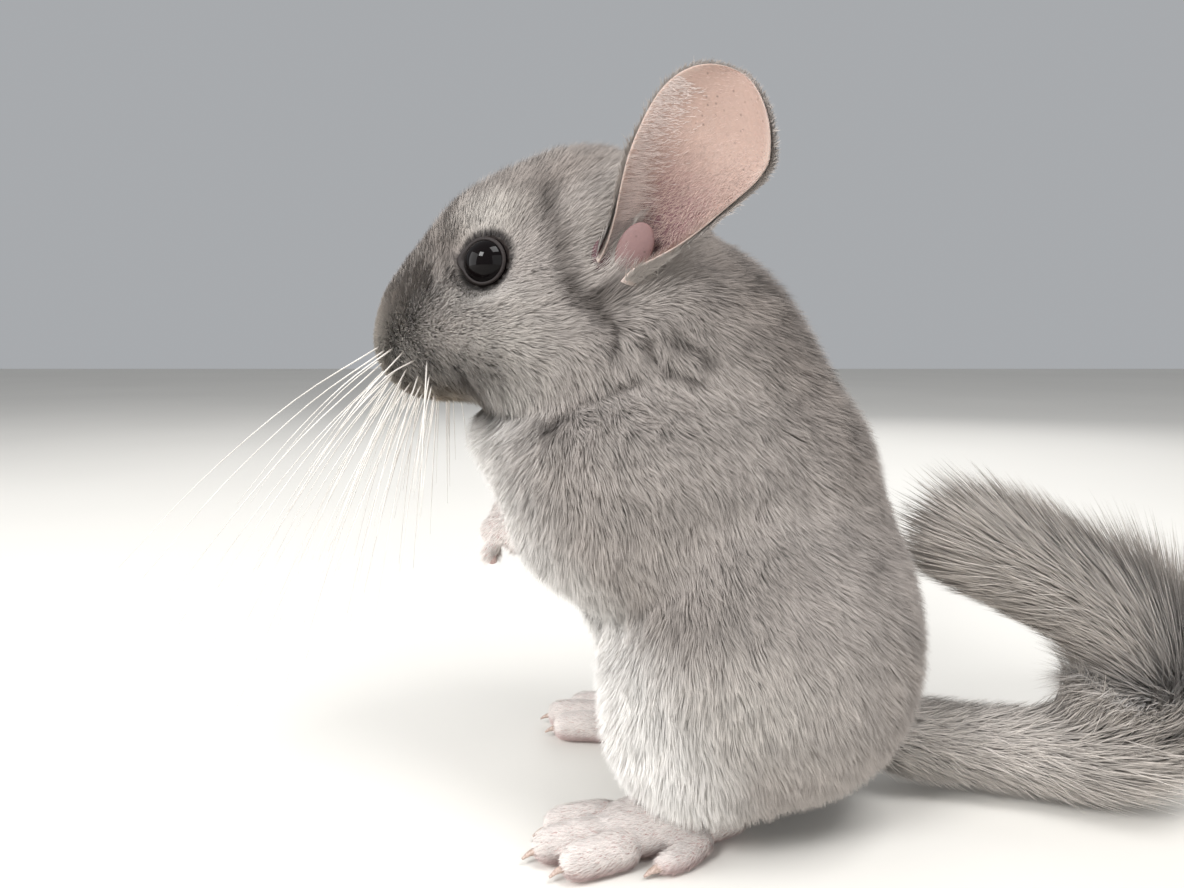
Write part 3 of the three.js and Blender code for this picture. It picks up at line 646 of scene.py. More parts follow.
def lid_grid(side):
    """A ring round the eye's axis with an oval section. Its radius and width grow, and it lies further
    in, by a corner term exp(-(angle / 0.33) squared) at the front."""
    front_way = unit(np.cross(np.cross(EYE_AXIS, [0, -1.0, 0.1]), EYE_AXIS))
    over = np.cross(EYE_AXIS, front_way)
    turn = 2 * np.pi * np.arange(LID_STEPS)[:, None] / LID_STEPS
    around = 2 * np.pi * np.arange(LID_SIDES)[None] / LID_SIDES
    corner = np.exp(-((np.minimum(turn, 2 * np.pi - turn) / 0.33) ** 2))
    radius = LID_RADIUS + 1.0 * corner + (0.5 + 0.8 * corner) * np.cos(around)
    out = LID_OUT - 0.7 * corner + 0.45 * np.sin(around)
    spoke = front_way * np.cos(turn)[..., None] + over * np.sin(turn)[..., None]
    grid = EYE + spoke * radius[..., None] + EYE_AXIS * out[..., None]
    return grid * (side, 1, 1)


cornea, lid_skin = cornea_material(), lid_material()
first = np.arange(LID_SIDES)
following, last = (first + 1) % LID_SIDES, (LID_STEPS - 1) * LID_SIDES
closing = np.stack([last + first, last + following, following, first], 1)
lid_quads = np.vstack([ring_quads(LID_STEPS, LID_SIDES), closing])
for side, label in ((1, "left"), (-1, "right")):
    ball = sphere_grid(EYE * (side, 1, 1), EYE_RADIUS, BALL_ROWS, BALL_COLUMNS)
    quads = ring_quads(BALL_ROWS, BALL_COLUMNS)[:, ::-1]
    mesh = made_mesh("eyeball", placed(ball.reshape(-1, 3)), quads)
    finish_piece("eyeball_" + label, mesh, cornea, ["eye_" + label])
    rim = lid_grid(side).reshape(-1, 3)
    mesh = made_mesh("lid", placed(rim), lid_quads[:, ::side])
    finish_piece("lid_" + label, mesh, lid_skin)

# Ears
# Big thin oval ears, nearly bare inside, rolled into a funnel at the root. Skin over thin gristle, pinkish
# tan with mauve hollows and painted shade deep in the funnel, a flap in front of the canal with a dark
# ellipsoid of painted shade in the hollow before it, and fine hair along the edges and behind.
EAR_LENGTH, EAR_HALF, EAR_WIDEST, EAR_WALL = 48.0, 16.8, 0.62, 1.3  # the widest place is a share
EAR_FACING = unit(np.array([0.84, -0.52, -0.1]))
EAR_ROLL = (2.3, 0.55)  # half angles at the root and near the tip, in radians


def ear_points(share, across, depth, side):
    """The ear's flattened outline rolled up: at each share of the length the section is an arc whose
    half angle falls from the root to the tip, and whose radius is half the flat width over that angle.
    The rear edge is drawn in at the waist, and the whole bows back by 7 sin(pi share)."""
    facing = unit(EAR_FACING - EAR_WAY * (EAR_FACING @ EAR_WAY))
    wide = np.cross(EAR_WAY, facing)
    tipward = np.clip((share - EAR_WIDEST) / (1 - EAR_WIDEST), 0, 1)
    lower = mix(EAR_HALF * 0.62, EAR_HALF, np.sin(np.clip(share / EAR_WIDEST, 0, 1) * np.pi / 2))
    half = np.where(share > EAR_WIDEST, EAR_HALF * np.sqrt(1 - tipward**2), lower)
    waist = np.sin(np.pi * np.clip((share - 0.08) / 0.7, 0, 1))
    across = across * (1 - 0.3 * waist * np.maximum(across, 0))
    roll = mix(*EAR_ROLL, smooth(share / 0.7))
    radius = np.maximum(half, 0.01) / roll
    turn = roll * across
    reach = radius + depth
    along = EAR_LENGTH * share
    forwards = radius - reach * np.cos(turn) - 7 * np.sin(np.pi * share) + 2
    p = EAR_ROOT + EAR_WAY * along[..., None] + wide * (reach * np.sin(turn))[..., None]
    return (p + facing * forwards[..., None]) * (side, 1, 1)


def ear_skin_material():
    """Thin bare ear skin, tan above and mauve in the hollow, with dark specks, letting light through."""
    material, tree = new_material("thin_ear_skin")
    place = add_node(tree, "ShaderNodeTexCoord").outputs["Object"]
    colour = add_node(tree, "ShaderNodeAttribute", {"attribute_name": "coat_colour"}).outputs["Color"]
    grain = add_node(tree, "ShaderNodeTexNoise", Vector=place, Scale=1400.0, Detail=4.0)
    specks = add_node(tree, "ShaderNodeTexVoronoi", Vector=place, Scale=520.0)
    dark = add_node(
        tree, "ShaderNodeMapRange", Value=specks.outputs["Distance"], From_Min=0.06, From_Max=0.2,
        To_Min=0.55, To_Max=1.0,
    )
    vary = add_node(tree, "ShaderNodeMapRange", Value=grain.outputs["Fac"], To_Min=0.88, To_Max=1.12)
    both = add_node(
        tree, "ShaderNodeMath", {"operation": "MULTIPLY"}, _0=dark.outputs[0], _1=vary.outputs[0]
    )
    tint = add_node(tree, "ShaderNodeVectorMath", {"operation": "SCALE"}, _0=colour, Scale=both.outputs[0])
    bump = add_node(tree, "ShaderNodeBump", Height=grain.outputs["Fac"], Strength=0.35, Distance=0.0003)
    shader = add_node(
        tree, "ShaderNodeBsdfPrincipled", Base_Color=tint.outputs[0], Normal=bump.outputs[0],
        Roughness=0.65, Subsurface_Weight=0.06, Subsurface_Scale=0.002,
    )
    shader.inputs["Subsurface Radius"].default_value = (1.0, 0.4, 0.25)
    set_shader(tree, shader)
    return material


EAR_TAN, EAR_MAUVE, EAR_EDGE = linear("#a78e83"), linear("#6b434a"), linear("#bba99f")
EAR_FUNNEL_SHADE, FRINGE, INNER_HAIR = linear("#3a2226"), linear("#dccdc7"), linear("#c4aaa0")
ROWS, COLUMNS = 60, 44
EAR_HAIRS, BEHIND_SHARE, FRINGE_SHARE = 42000, 0.7, 0.06
FLAP, FLAP_HALF = np.array([27.4, 9.5, 141.0]), (1.0, 4.4, 5.8)
# Centre and half sizes of the dark ellipsoid of painted shade in the hollow before the flap.
HOLLOW_SHADE, HOLLOW_SHADE_HALF = np.array([25.6, 2.4, 139.0]), (1.2, 2.6, 4.6)
KNOB_ROWS, KNOB_COLUMNS = 21, 28
ear_skin = ear_skin_material()
ear_down = fur_material("fine_ear_hair", 0.85, 1.1)
for side, label in ((1, "left"), (-1, "right")):
    share = np.sin(np.linspace(0, 1, ROWS) * np.pi / 2)[:, None] * 0.999 + np.zeros((1, COLUMNS))
    across = np.linspace(-1, 1, COLUMNS)[None] + np.zeros((ROWS, 1))
    edge = 1 - np.abs(across) ** 6 * 0.75
    inner = ear_points(share, across, 0 * share, side)
    outer = ear_points(share, across, EAR_WALL * edge, side)
    ring = np.concatenate([inner, outer[:, ::-1]], 1)
    quads = ring_quads(ROWS, 2 * COLUMNS)
    tip = len(ring[0]) * (ROWS - 1)
    j = np.arange(COLUMNS - 1)
    cap = np.stack([tip + j, tip + j + 1, tip + 2 * COLUMNS - 2 - j, tip + 2 * COLUMNS - 1 - j], 1)
    quads = np.vstack([quads, cap[:, ::-1]])
    mesh = made_mesh("ear", placed(ring.reshape(-1, 3)), quads if side > 0 else quads[:, ::-1])
    hollow = smooth((0.66 - share) / 0.42) * smooth((0.95 - np.abs(across - 0.05)) / 0.6)
    paint = mix(EAR_TAN, EAR_MAUVE, hollow[..., None] * 0.95)
    # Painted shade deep in the funnel at the ear's root.
    deep = smooth((0.3 - share) / 0.2) * smooth((0.8 - np.abs(across)) / 0.5)
    paint = mix(paint, EAR_FUNNEL_SHADE, deep[..., None] * 0.8)
    paint = mix(paint, EAR_EDGE, (smooth((np.abs(across) - 0.8) / 0.2) * 0.6)[..., None])
    back = mix(TAUPE, EAR_TAN, 0.35) + np.zeros((ROWS, COLUMNS, 3))
    painted(mesh, np.concatenate([paint, back], 1).reshape(-1, 3))
    finish_piece("ear_skin_" + label, mesh, ear_skin, ["ear_" + label])

    # Fine hair: dense and grey behind, pale and sparse inside, and a fringe that leans from the front
    # edge over the hollow.
    s, a = draw.uniform(0.02, 0.995, EAR_HAIRS), draw.uniform(-1, 1, EAR_HAIRS)
    kind = draw.random(EAR_HAIRS)
    behind, fringe = kind < BEHIND_SHARE, kind > 1 - FRINGE_SHARE
    s = np.where(fringe, s**1.2 * 0.85, s)
    a = np.where(fringe, -1 + np.abs(draw.normal(0, 0.22, EAR_HAIRS)), a)
    depth = np.where(behind, EAR_WALL, 0.0)
    at = ear_points(s, a, depth, side)
    normal = unit(ear_points(s, a, depth + np.where(behind, 0.5, -0.5), side) - at)
    upper, lower = np.minimum(s + 0.02, 1), s - 0.02
    tipward = unit(ear_points(upper, a, depth, side) - ear_points(lower, a, depth, side))
    outward = unit(ear_points(s, a + 0.02, depth, side) - ear_points(s, a - 0.02, depth, side))
    lean = np.where(fringe, 1.3, np.where(behind, 0.3 * np.sign(a), 0.5))[:, None]
    hair_way = unit(tipward + outward * lean + 0.3 * draw.normal(size=(EAR_HAIRS, 3)))
    hair_way = unit(hair_way - normal * (hair_way * normal).sum(1, keepdims=True))
    long = np.where(behind, mix(4.5, 1.4, s), mix(2.6, 0.9, s)) * draw.uniform(0.6, 1.2, EAR_HAIRS)
    fringe_long = mix(8.0, 2.0, smooth(s / 0.6)) * draw.uniform(0.5, 1.1, EAR_HAIRS)
    long = np.where(fringe, fringe_long, long)
    thick = np.where(behind, 0.13, np.where(fringe, 0.06, 0.05))
    rise = np.where(fringe, 26.0, 14.0)[:, None]
    blade = tuft_points(at, normal, hair_way, long, thick, rise, draw)
    tone = np.where(behind[:, None], TAUPE, np.where(fringe[:, None], FRINGE, INNER_HAIR))
    tone = tone * draw.uniform(0.75, 1.12, (EAR_HAIRS, 1))
    unwrap = np.stack([0.5 + 0.45 * a * np.where(behind, 1, 0.9), s], 1)
    mesh = blade_mesh("ear_hair", blade, tone, unwrap, normal)
    finish_piece("ear_hair_" + label, mesh, ear_down)

    # The flap before the canal, sheared to lie along the ear, and a dark ellipsoid of painted shade in
    # the small hollow in front of it.
    ball = sphere_grid((0, 0, 0), 1, KNOB_ROWS, KNOB_COLUMNS)
    flap = ball * FLAP_HALF
    flap[..., 1:] = flap[..., 1:] + np.stack([0.12 * flap[..., 2], 0.25 * flap[..., 1]], -1)
    flap = (flap + FLAP) * (side, 1, 1)
    hollow_shade = (ball * HOLLOW_SHADE_HALF + HOLLOW_SHADE) * (side, 1, 1)
    # The second, dark ellipsoid is painted shade in the hollow before the flap.
    for name, shape, code in (("ear_flap_", flap, "#7f6361"), ("ear_hollow_shade_", hollow_shade, "#54343a")):
        quads = ring_quads(KNOB_ROWS, KNOB_COLUMNS)[:, ::-side]
        mesh = made_mesh("flap", placed(shape.reshape(-1, 3)), quads)
        painted(mesh, np.tile(linear(code), (KNOB_ROWS * KNOB_COLUMNS, 1)))
        finish_piece(name + label, mesh, ear_skin)

# Nose and mouth
# A small bare nose pad of moist skin with two slits for nostrils, a cleft below it and the dark line of
# the mouth, which is a thin tube sunk in the fur. The slits, the cleft and the line are near-black tubes
# that stand for painted shade.
PAD_HALF, PAD_ROWS, PAD_COLUMNS = (2.8, 1.5, 2.0), 25, 36
MOUTH = (0, -38, 113.5)  # the lip's line is cast from here
LIP_STEPS, LIP_HALF_ANGLE = 13, 62


def curve(points, count):
    """A smooth line through the points: on each stretch the cubic whose slopes at its ends are half the
    step between the points on either side. Gives points and unit tangents."""
    p = np.array(points, float)
    p = np.vstack([2 * p[0] - p[1], p, 2 * p[-1] - p[-2]])
    s = np.linspace(0, len(p) - 3, count)
    k = np.minimum(s.astype(int), len(p) - 4)
    t = (s - k)[:, None]
    a, b, c, d = p[k], p[k + 1], p[k + 2], p[k + 3]
    at = 0.5 * (2 * b + (c - a) * t + (2 * a - 5 * b + 4 * c - d) * t**2 + (3 * b - a - 3 * c + d) * t**3)
    slope = 0.5 * ((c - a) + 2 * (2 * a - 5 * b + 4 * c - d) * t + 3 * (3 * b - a - 3 * c + d) * t**2)
    return at, unit(slope)


def tube_grid(points, sizes, steps, sides, up=(0, 0, 1)):
    """Rings carried along a smooth line: centre + across w cos u + over h sin u. sizes(share) gives w
    and h. The ends close to points."""
    centre, ahead = curve(points, steps + 1)
    across = unit(np.cross(ahead, np.array(up, float)))
    over = np.cross(across, ahead)
    wide, high = sizes(np.linspace(0, 1, steps + 1))
    turn = 2 * np.pi * np.arange(sides) / sides
    rings = (
        centre[:, None]
        + across[:, None] * (wide[:, None] * np.cos(turn))[..., None]
        + over[:, None] * (high[:, None] * np.sin(turn))[..., None]
    )
    ends = [np.repeat(centre[k][None, None], sides, 1) for k in (0, -1)]
    return np.concatenate([ends[0], rings, ends[1]])


def tube_mesh(name, grids):
    """Several closed tubes as one mesh."""
    points, faces, count = [], [], 0
    for grid in grids:
        points.append(grid.reshape(-1, 3))
        faces.append(ring_quads(*grid.shape[:2]) + count)
        count += len(points[-1])
    return made_mesh(name, placed(np.vstack(points)), np.vstack(faces))


def skin_material(name, dark_code, light_code, rough):
    """Bare skin with fine pores: two close tones, a fine bump and a soft gloss."""
    material, tree = new_material(name)
    place = add_node(tree, "ShaderNodeTexCoord").outputs["Object"]
    grain = add_node(tree, "ShaderNodeTexNoise", Vector=place, Scale=1800.0, Detail=4.0)
    ramp = add_node(tree, "ShaderNodeValToRGB", Fac=grain.outputs["Fac"])
    ramp.color_ramp.elements[0].color = (*linear(dark_code), 1)
    ramp.color_ramp.elements[1].color = (*linear(light_code), 1)
    ramp.color_ramp.elements[0].position = 0.3
    ramp.color_ramp.elements[1].position = 0.7
    bump = add_node(tree, "ShaderNodeBump", Height=grain.outputs["Fac"], Strength=0.5, Distance=0.0002)
    shader = add_node(
        tree, "ShaderNodeBsdfPrincipled", Base_Color=ramp.outputs[0], Normal=bump.outputs[0],
        Roughness=rough,
    )
    set_shader(tree, shader)
    return material


nose_skin = skin_material("bare_nose_skin", "#a58984", "#c4aca5", 0.55)
# Near-black skin for the painted shade inside the nostrils, the cleft and the line of the mouth.
slit_shade = skin_material("painted_slit_shade", "#3a2c29", "#574640", 0.7)
pad = sphere_grid((0, 0, 0), 1, PAD_ROWS, PAD_COLUMNS) * PAD_HALF
cleft = np.exp(-((pad[..., 0] / 0.7) ** 2)) * smooth((0.8 - pad[..., 2]) / 2)
pad[..., 1] += 0.9 * cleft
front_face = cast(np.array([[0, -40.0, 125.0]]), np.array([[0, -1.0, 0]]), -0.6)[0]
pad_at = front_face + (0, 0.6, 0)
pad = (pad + pad_at).reshape(-1, 3)
mesh = made_mesh("nose", placed(pad), ring_quads(PAD_ROWS, PAD_COLUMNS)[:, ::-1])
finish_piece("nose_pad", mesh, nose_skin)


def on_coat(starts, ways, level):
    """Where rays meet the coat's field at that level."""
    return cast(np.array(starts, float), unit(np.array(ways, float)), level)


angles = np.radians(np.linspace(-LIP_HALF_ANGLE, LIP_HALF_ANGLE, LIP_STEPS))
lip_ways = np.stack([np.sin(angles), -np.cos(angles), -0.02 - 0.12 * angles**2], 1)
lip_line = on_coat(np.tile(MOUTH, (LIP_STEPS, 1)), lip_ways, -0.5)
cleft_line = on_coat([(0, -38, z) for z in (121.5, 118, 114.5)], [(0, -1, 0)] * 3, -0.5)
nostril = np.array([[1.1, -0.7, 0.9], [2.3, -1.0, 0.5], [3.2, 0.0, -0.4]])
nostrils = [nostril * (side, 1, 1) + pad_at - (0, 0.3, 0) for side in (1, -1)]
slits = [tube_grid(line, lambda t: (0.2 + 0.35 * np.sin(np.pi * t),) * 2, 12, 8) for line in nostrils]
slits.append(tube_grid(lip_line, lambda t: (0.12 + 0.14 * np.sin(np.pi * t),) * 2, 40, 8))
slits.append(tube_grid(cleft_line, lambda t: (0.3 + 0 * t,) * 2, 10, 8, (1, 0, 0)))
finish_piece("nostrils_and_mouth", tube_mesh("slits", slits), slit_shade)

# Whiskers
# Long springy hairs of horn in five rows on each side of the muzzle, stout at the root and fading to a
# fine tip, most of them white. Each hangs a little under its own weight.
WHISKERS, WHISKER_ROWS = 30, 5
WHISKER_LONG, WHISKER_HALF = (74, 32), (0.2, 0.045)  # front to back, and root to tip


def whisker_material():
    """A single horny hair: pale, smooth and slightly glossy."""
    material, tree = new_material("whisker_hair")
    place = add_node(tree, "ShaderNodeTexCoord").outputs["Object"]
    band = add_node(tree, "ShaderNodeTexNoise", Vector=place, Scale=90.0)
    ramp = add_node(tree, "ShaderNodeValToRGB", Fac=band.outputs["Fac"])
    ramp.color_ramp.elements[0].color = (*linear("#b9b2aa"), 1)
    ramp.color_ramp.elements[1].color = (*linear("#f4f1ec"), 1)
    shader = add_node(tree, "ShaderNodeBsdfPrincipled", Base_Color=ramp.outputs[0], Roughness=0.35)
    set_shader(tree, shader)
    return material


bristle = whisker_material()
for side, label in ((1, "left"), (-1, "right")):
    whiskers = []
    draw = np.random.default_rng(7)
    for k in range(WHISKERS):
        row, column = k % WHISKER_ROWS, (k // WHISKER_ROWS) / 5
        start = np.array([2, -48 + 9 * column, 122.5 - 1.9 * row + 0.5 * draw.normal()])
        out = unit(np.array([0.9, -0.35 + 0.36 * column, -0.3 - 0.2 * row]))
        foot = on_coat([start], [out], -1.0)[0]
        long = mix(*WHISKER_LONG, column + 0.2 * draw.random()) * draw.uniform(0.85, 1.05)
        way = unit(np.array([
            0.42 + 0.12 * column, -0.7 + 0.62 * column + 0.14 * draw.normal(),
            -0.4 - 0.17 * row + 0.14 * draw.normal(),
        ]))
        t = np.array([0, 0.35, 0.7, 1.0])[:, None]
        line = foot + way * long * t - np.array([0, 0, 0.28 * long]) * t**2
        line = line * (side, 1, 1)
        whiskers.append(tube_grid(line, lambda t: (mix(*WHISKER_HALF, t),) * 2, 12, 5, (0, 1, 0.3)))
    finish_piece("whiskers_" + label, tube_mesh("whiskers", whiskers), bristle)

# Hind feet
# Long flat feet with three broad toes and a short outer one, pale pinkish skin under short silky fur, and
# a blunt nail of horn on each toe. The flesh is tubes joined into one even shell.
HEEL, SPLAY, FOOT_LENGTH, FOOT_HEIGHT = (22.0, 44.0), math.radians(14), 59.0, 13.0
TOES = ((-5.6, 0.93), (0.6, 1.0), (6.6, 0.92))  # step outwards, and share of the foot's length at the tip
FOOT_VOXEL, FOOT_HAIRS = 0.8, 42000


def relaxed(points, quads, rounds):
    """Each point moved half way to the mean of its neighbours along the quads' edges, some rounds over."""
    edges = np.vstack([quads[:, [k, (k + 1) % 4]] for k in range(4)])
    for _ in range(rounds):
        total, count = np.zeros_like(points), np.zeros(len(points))
        np.add.at(total, edges[:, 0], points[edges[:, 1]])
        np.add.at(count, edges[:, 0], 1)
        points = (points + total / np.maximum(count, 1)[:, None]) / 2
    return points


def foot_place(share, out, z):
    """A share of the foot's length forwards from the heel, turned out by the splay, and a step outwards."""
    x = HEEL[0] + FOOT_LENGTH * share * math.sin(SPLAY) + out * math.cos(SPLAY)
    y = HEEL[1] - FOOT_LENGTH * share * math.cos(SPLAY) + out * math.sin(SPLAY)
    return (x, y, z)


def rounded(wide, high, taper):
    """Sizes that close at the ends by the root of 1 - (2 t - 1) to the sixth, and thin by the taper on
    the way."""

    def sizes(t):
        ends = np.sqrt(np.maximum(1 - (2 * t - 1) ** 6, 0.03)) * mix(1, taper, t)
        return wide * ends, high * ends

    return sizes


def foot_grids():
    """Sole, three toes and the outer toe as tubes, and the nails as cones."""
    h = FOOT_HEIGHT

    def sole_sizes(t):
        ends = np.sqrt(np.maximum(1 - (2 * t - 1) ** 6, 0.04))
        return mix(6.2, 8.6, t) * ends, mix(0.6, 0.46, t) * h * ends

    sole_line = [foot_place(share, 0, h * high) for share, high in ((0.1, 0.72), (0.36, 0.5), (0.74, 0.38))]
    flesh = [tube_grid(sole_line, sole_sizes, 30, 32)]
    nails = []
    for out, reach in TOES:
        line = [
            foot_place(0.6, out * 0.9, h * 0.36), foot_place(reach - 0.14, out * 1.25, h * 0.36),
            foot_place(reach, out * 1.35, 3.4),
        ]
        flesh.append(tube_grid(line, rounded(4.2, 4.6, 0.88), 24, 24))
        steps = ((-0.03, 3.6), (0.02, 3.0), (0.055, 1.8))
        nails.append([foot_place(reach + d, out * (1.35 + d), z) for d, z in steps])
    line = [foot_place(0.3, 5, 4), foot_place(0.44, 10.5, 3), foot_place(0.56, 12.5, 2.6)]
    flesh.append(tube_grid(line, rounded(3, 3.1, 0.8), 20, 20))
    steps = ((-0.01, 2.4), (0.03, 1.9), (0.06, 1.0))
    nails.append([foot_place(0.56 + d, 12.5 + 8 * d, z) for d, z in steps])
    return flesh, nails


def nail_sizes(t):
    """Half width and half height of a nail, which falls evenly from the root to the point."""
    return mix(1.3, 0.3, t), mix(1.1, 0.25, t)


def outward_normals(points, quads):
    """Mean of the normals of the quads round each point."""
    a, b, c, d = (points[quads[:, k]] for k in range(4))
    face = np.cross(c - a, d - b)
    total = np.zeros_like(points)
    for k in range(4):
        np.add.at(total, quads[:, k], face)
    return unit(total)


def short_fur(name, points, quads, count, way_of, length, width, paint, rise, keep):
    """Tufts on a shell: places drawn by area, the normal of a corner of the quad, and a given lie."""
    spots = np.random.default_rng(len(name))
    a, b, c, d = (points[quads[:, k]] for k in range(4))
    total = np.cumsum(np.linalg.norm(np.cross(c - a, d - b), axis=1))
    pick = quads[np.searchsorted(total, spots.random(count) * total[-1])]
    u, v = spots.random((2, count, 1))
    a, b, c, d = (points[pick[:, k]] for k in range(4))
    root = (a * (1 - u) + b * u) * (1 - v) + (d * (1 - u) + c * u) * v
    normal = outward_normals(points, quads)[pick[:, 0]]
    use = keep(root)
    root, normal = root[use], normal[use]
    way = way_of(root) + 0.25 * spots.normal(size=root.shape)
    way = unit(way - normal * (way * normal).sum(1, keepdims=True))
    long = length(root) * spots.uniform(0.7, 1.2, len(root))
    blade = tuft_points(root, normal, way, long, width, rise, spots)
    blade[:, :, 2] = np.maximum(blade[:, :, 2], 0.15)
    colour = paint(root) * spots.uniform(0.86, 1.12, (len(root), 1))
    mesh = blade_mesh(name, blade, colour, round_unwrap(root, points.mean(0)), normal)
    finish_piece(name, mesh, foot_fur)


FOOT_PALE, FOOT_PINK = linear("#e4dcd7"), linear("#c9adaa")
foot_fur = fur_material("short_silky_fur", 0.75, 1.12)
foot_skin = skin_material("foot_skin", "#b08f8b", "#cdb3ac", 0.6)
# Horn of the nails: brownish tan, smoother and glossier than skin.
horn = skin_material("nail_horn", "#957f74", "#c0aca0", 0.4)
for side, label in ((1, "left"), (-1, "right")):
    flesh, nails = foot_grids()
    points, quads = even_shell(flesh, FOOT_VOXEL)
    points = relaxed(points, quads, 3)
    points[:, 2] = np.maximum(points[:, 2], 0.1)
    points = points * (side, 1, 1)
    quads = quads[:, ::-1] if side < 0 else quads
    mesh = made_mesh("foot", placed(points), quads)
    finish_piece("foot_" + label, mesh, foot_skin, ["hind_foot_" + label])
    claws = [tube_grid(np.array(nail) * (side, 1, 1), nail_sizes, 10, 12) for nail in nails]
    finish_piece("hind_nails_" + label, tube_mesh("nails", claws), horn)
    forwards = np.array([side * math.sin(SPLAY), -math.cos(SPLAY), -0.1])
    short_fur(
        "foot_fur_" + label, points, quads, FOOT_HAIRS,
        lambda p: np.tile(forwards, (len(p), 1)),
        lambda p: np.full(len(p), 1.9), 0.1,
        lambda p: mix(FOOT_PINK, FOOT_PALE, smooth((p[:, 2] - 1) / 4)[:, None]),
        14.0, lambda p: p[:, 2] > 1.2,
    )

# Forepaws
# Small hands folded against the chest: a wrist out of the fur and four short fingers curled under,
# pinkish and thinly furred.
ARM = np.array([(19, 3, 72), (16, -8, 72), (12.5, -17.5, 74), (11.5, -22, 72.5), (11.5, -23, 70.5)], float)
FINGERS = (-3.8, -1.3, 1.4, 3.9)  # steps outwards from the wrist
PAW_VOXEL, PAW_HAIRS = 0.55, 14000


def paw_grids(side):
    """The forearm and four fingers as tubes."""
    grids = [tube_grid(ARM * (side, 1, 1), rounded(5.8, 6.2, 0.9), 30, 24)]
    for out in FINGERS:
        line = [(11.5 + out * 0.8, -22.5, 72), (11.5 + out, -25.5, 68.8), (11 + out, -23.8, 65.8)]
        line = np.array(line, float) * (side, 1, 1)
        grids.append(tube_grid(line, rounded(1.9, 1.8, 0.8), 16, 14, (0, 1, 0)))
    return grids


for side, label in ((1, "left"), (-1, "right")):
    points, quads = even_shell(paw_grids(side), PAW_VOXEL)
    points = relaxed(points, quads, 2)
    mesh = made_mesh("paw", placed(points), quads)
    finish_piece("paw_" + label, mesh, foot_skin, ["forepaw_" + label])
    short_fur(
        "paw_fur_" + label, points, quads, PAW_HAIRS,
        lambda p: np.tile([0, -0.6, -0.8], (len(p), 1)),
        lambda p: np.full(len(p), 2.0), 0.1,
        lambda p: np.tile(FOOT_PALE, (len(p), 1)),
        16.0, lambda p: (p[:, 1] < -8) & (p[:, 2] > 67),
    )

# Tail
# A tail that lies on the floor, turns up and comes forwards again, smooth at the base and opening into a
# brush of long coarse hair. The hairs have dark roots and pale tips, and on the outer side of the bend
# they run straight on, so that the brush fans out.
TAIL_PATH = (
    (0, 68, 17), (1, 92, 13.6), (5, 112, 13), (9, 130, 14), (9, 144, 22), (7, 146, 35), (5, 137, 46),
    (3, 124, 55), (2, 113, 60),
)
TAIL_CORE = (8.0, 3.6)  # radius at the root and at the tip
CORE_RINGS, CORE_SIDES = 90, 28
TAIL_HAIRS = 62000
BEND_AT, BEND_SPAN = 0.49, 0.11  # shares of the tail's length
UPPER_AT, UPPER_SPAN = 0.68, 0.12
tail_at, tail_ahead = curve(TAIL_PATH, 600)
tail_run = np.concatenate([[0], np.cumsum(np.linalg.norm(np.diff(tail_at, axis=0), axis=1))])
TAIL_LENGTH = tail_run[-1]


def tail_frame(share):
    """Centre, heading, inner side of the bend and cross way at shares of the tail's length. Past the
    end the centre runs straight on."""
    run = np.clip(share, 0, 1) * TAIL_LENGTH
    centre = np.stack([np.interp(run, tail_run, tail_at[:, k]) for k in range(3)], -1)
    ahead = unit(np.stack([np.interp(run, tail_run, tail_ahead[:, k]) for k in range(3)], -1))
    centre = centre + ahead * (np.maximum(share - 1, 0) * TAIL_LENGTH)[..., None]
    over = unit(np.cross(np.array([1.0, 0, 0]), ahead))
    return centre, ahead, over, np.cross(ahead, over)


def tail_core_radius(share):
    """The flesh under the hair thins evenly from the root to the tip."""
    return mix(*TAIL_CORE, np.clip(share, 0, 1))


core_share = np.linspace(0.02, 1.0, CORE_RINGS)
centre, ahead, over, cross = tail_frame(core_share)
turn = 2 * np.pi * np.arange(CORE_SIDES) / CORE_SIDES
spoke = cross[:, None] * np.cos(turn)[None, :, None] + over[:, None] * np.sin(turn)[None, :, None]
core = centre[:, None] + spoke * tail_core_radius(core_share)[:, None, None]
ends = [np.repeat(end, CORE_SIDES, 1) for end in (centre[:1, None], centre[-1:, None])]
core = np.concatenate([ends[0], core, ends[1]]).reshape(-1, 3)
mesh = made_mesh("tail", placed(core), ring_quads(CORE_RINGS + 2, CORE_SIDES))
TAIL_DARK, TAIL_TIP = linear("#7f7770"), linear("#c6c0ba")
painted(mesh, np.tile(TAIL_DARK, (len(core), 1)))
finish_piece("tail_core", mesh, underfur, ["tail_base", "tail_bend", "tail_tip"])

# Each hair has its share of the tail's length, its turn about the core, its length, how far out it
# reaches, and a stray. The reach swells towards the brush, is greatest on the inner side of the bend and
# a little less on the outer side past it.
draw = np.random.default_rng(13)
share = draw.uniform(0.04, 0.99, TAIL_HAIRS) ** 0.95
turn = draw.uniform(0, 2 * np.pi, TAIL_HAIRS)
swell = smooth((share - 0.22) / 0.45)
long = mix(13, 34, swell) * draw.uniform(0.55, 1.15, TAIL_HAIRS)
outerness = 0.35 * (1 - np.sin(turn))
at_bend = np.exp(-(((share - BEND_AT) / BEND_SPAN) ** 2))
past_bend = np.exp(-(((share - UPPER_AT) / UPPER_SPAN) ** 2))
inner = mix(mix(12.0, 12.5, swell), 31.0, at_bend)
outer = mix(mix(12.4, 19.5, swell), 16.0, past_bend)
reach = mix(outer, inner, (1 + np.sin(turn)) / 2) * draw.uniform(0.45, 1.06, TAIL_HAIRS)
stray = draw.normal(0, 0.22, TAIL_HAIRS)


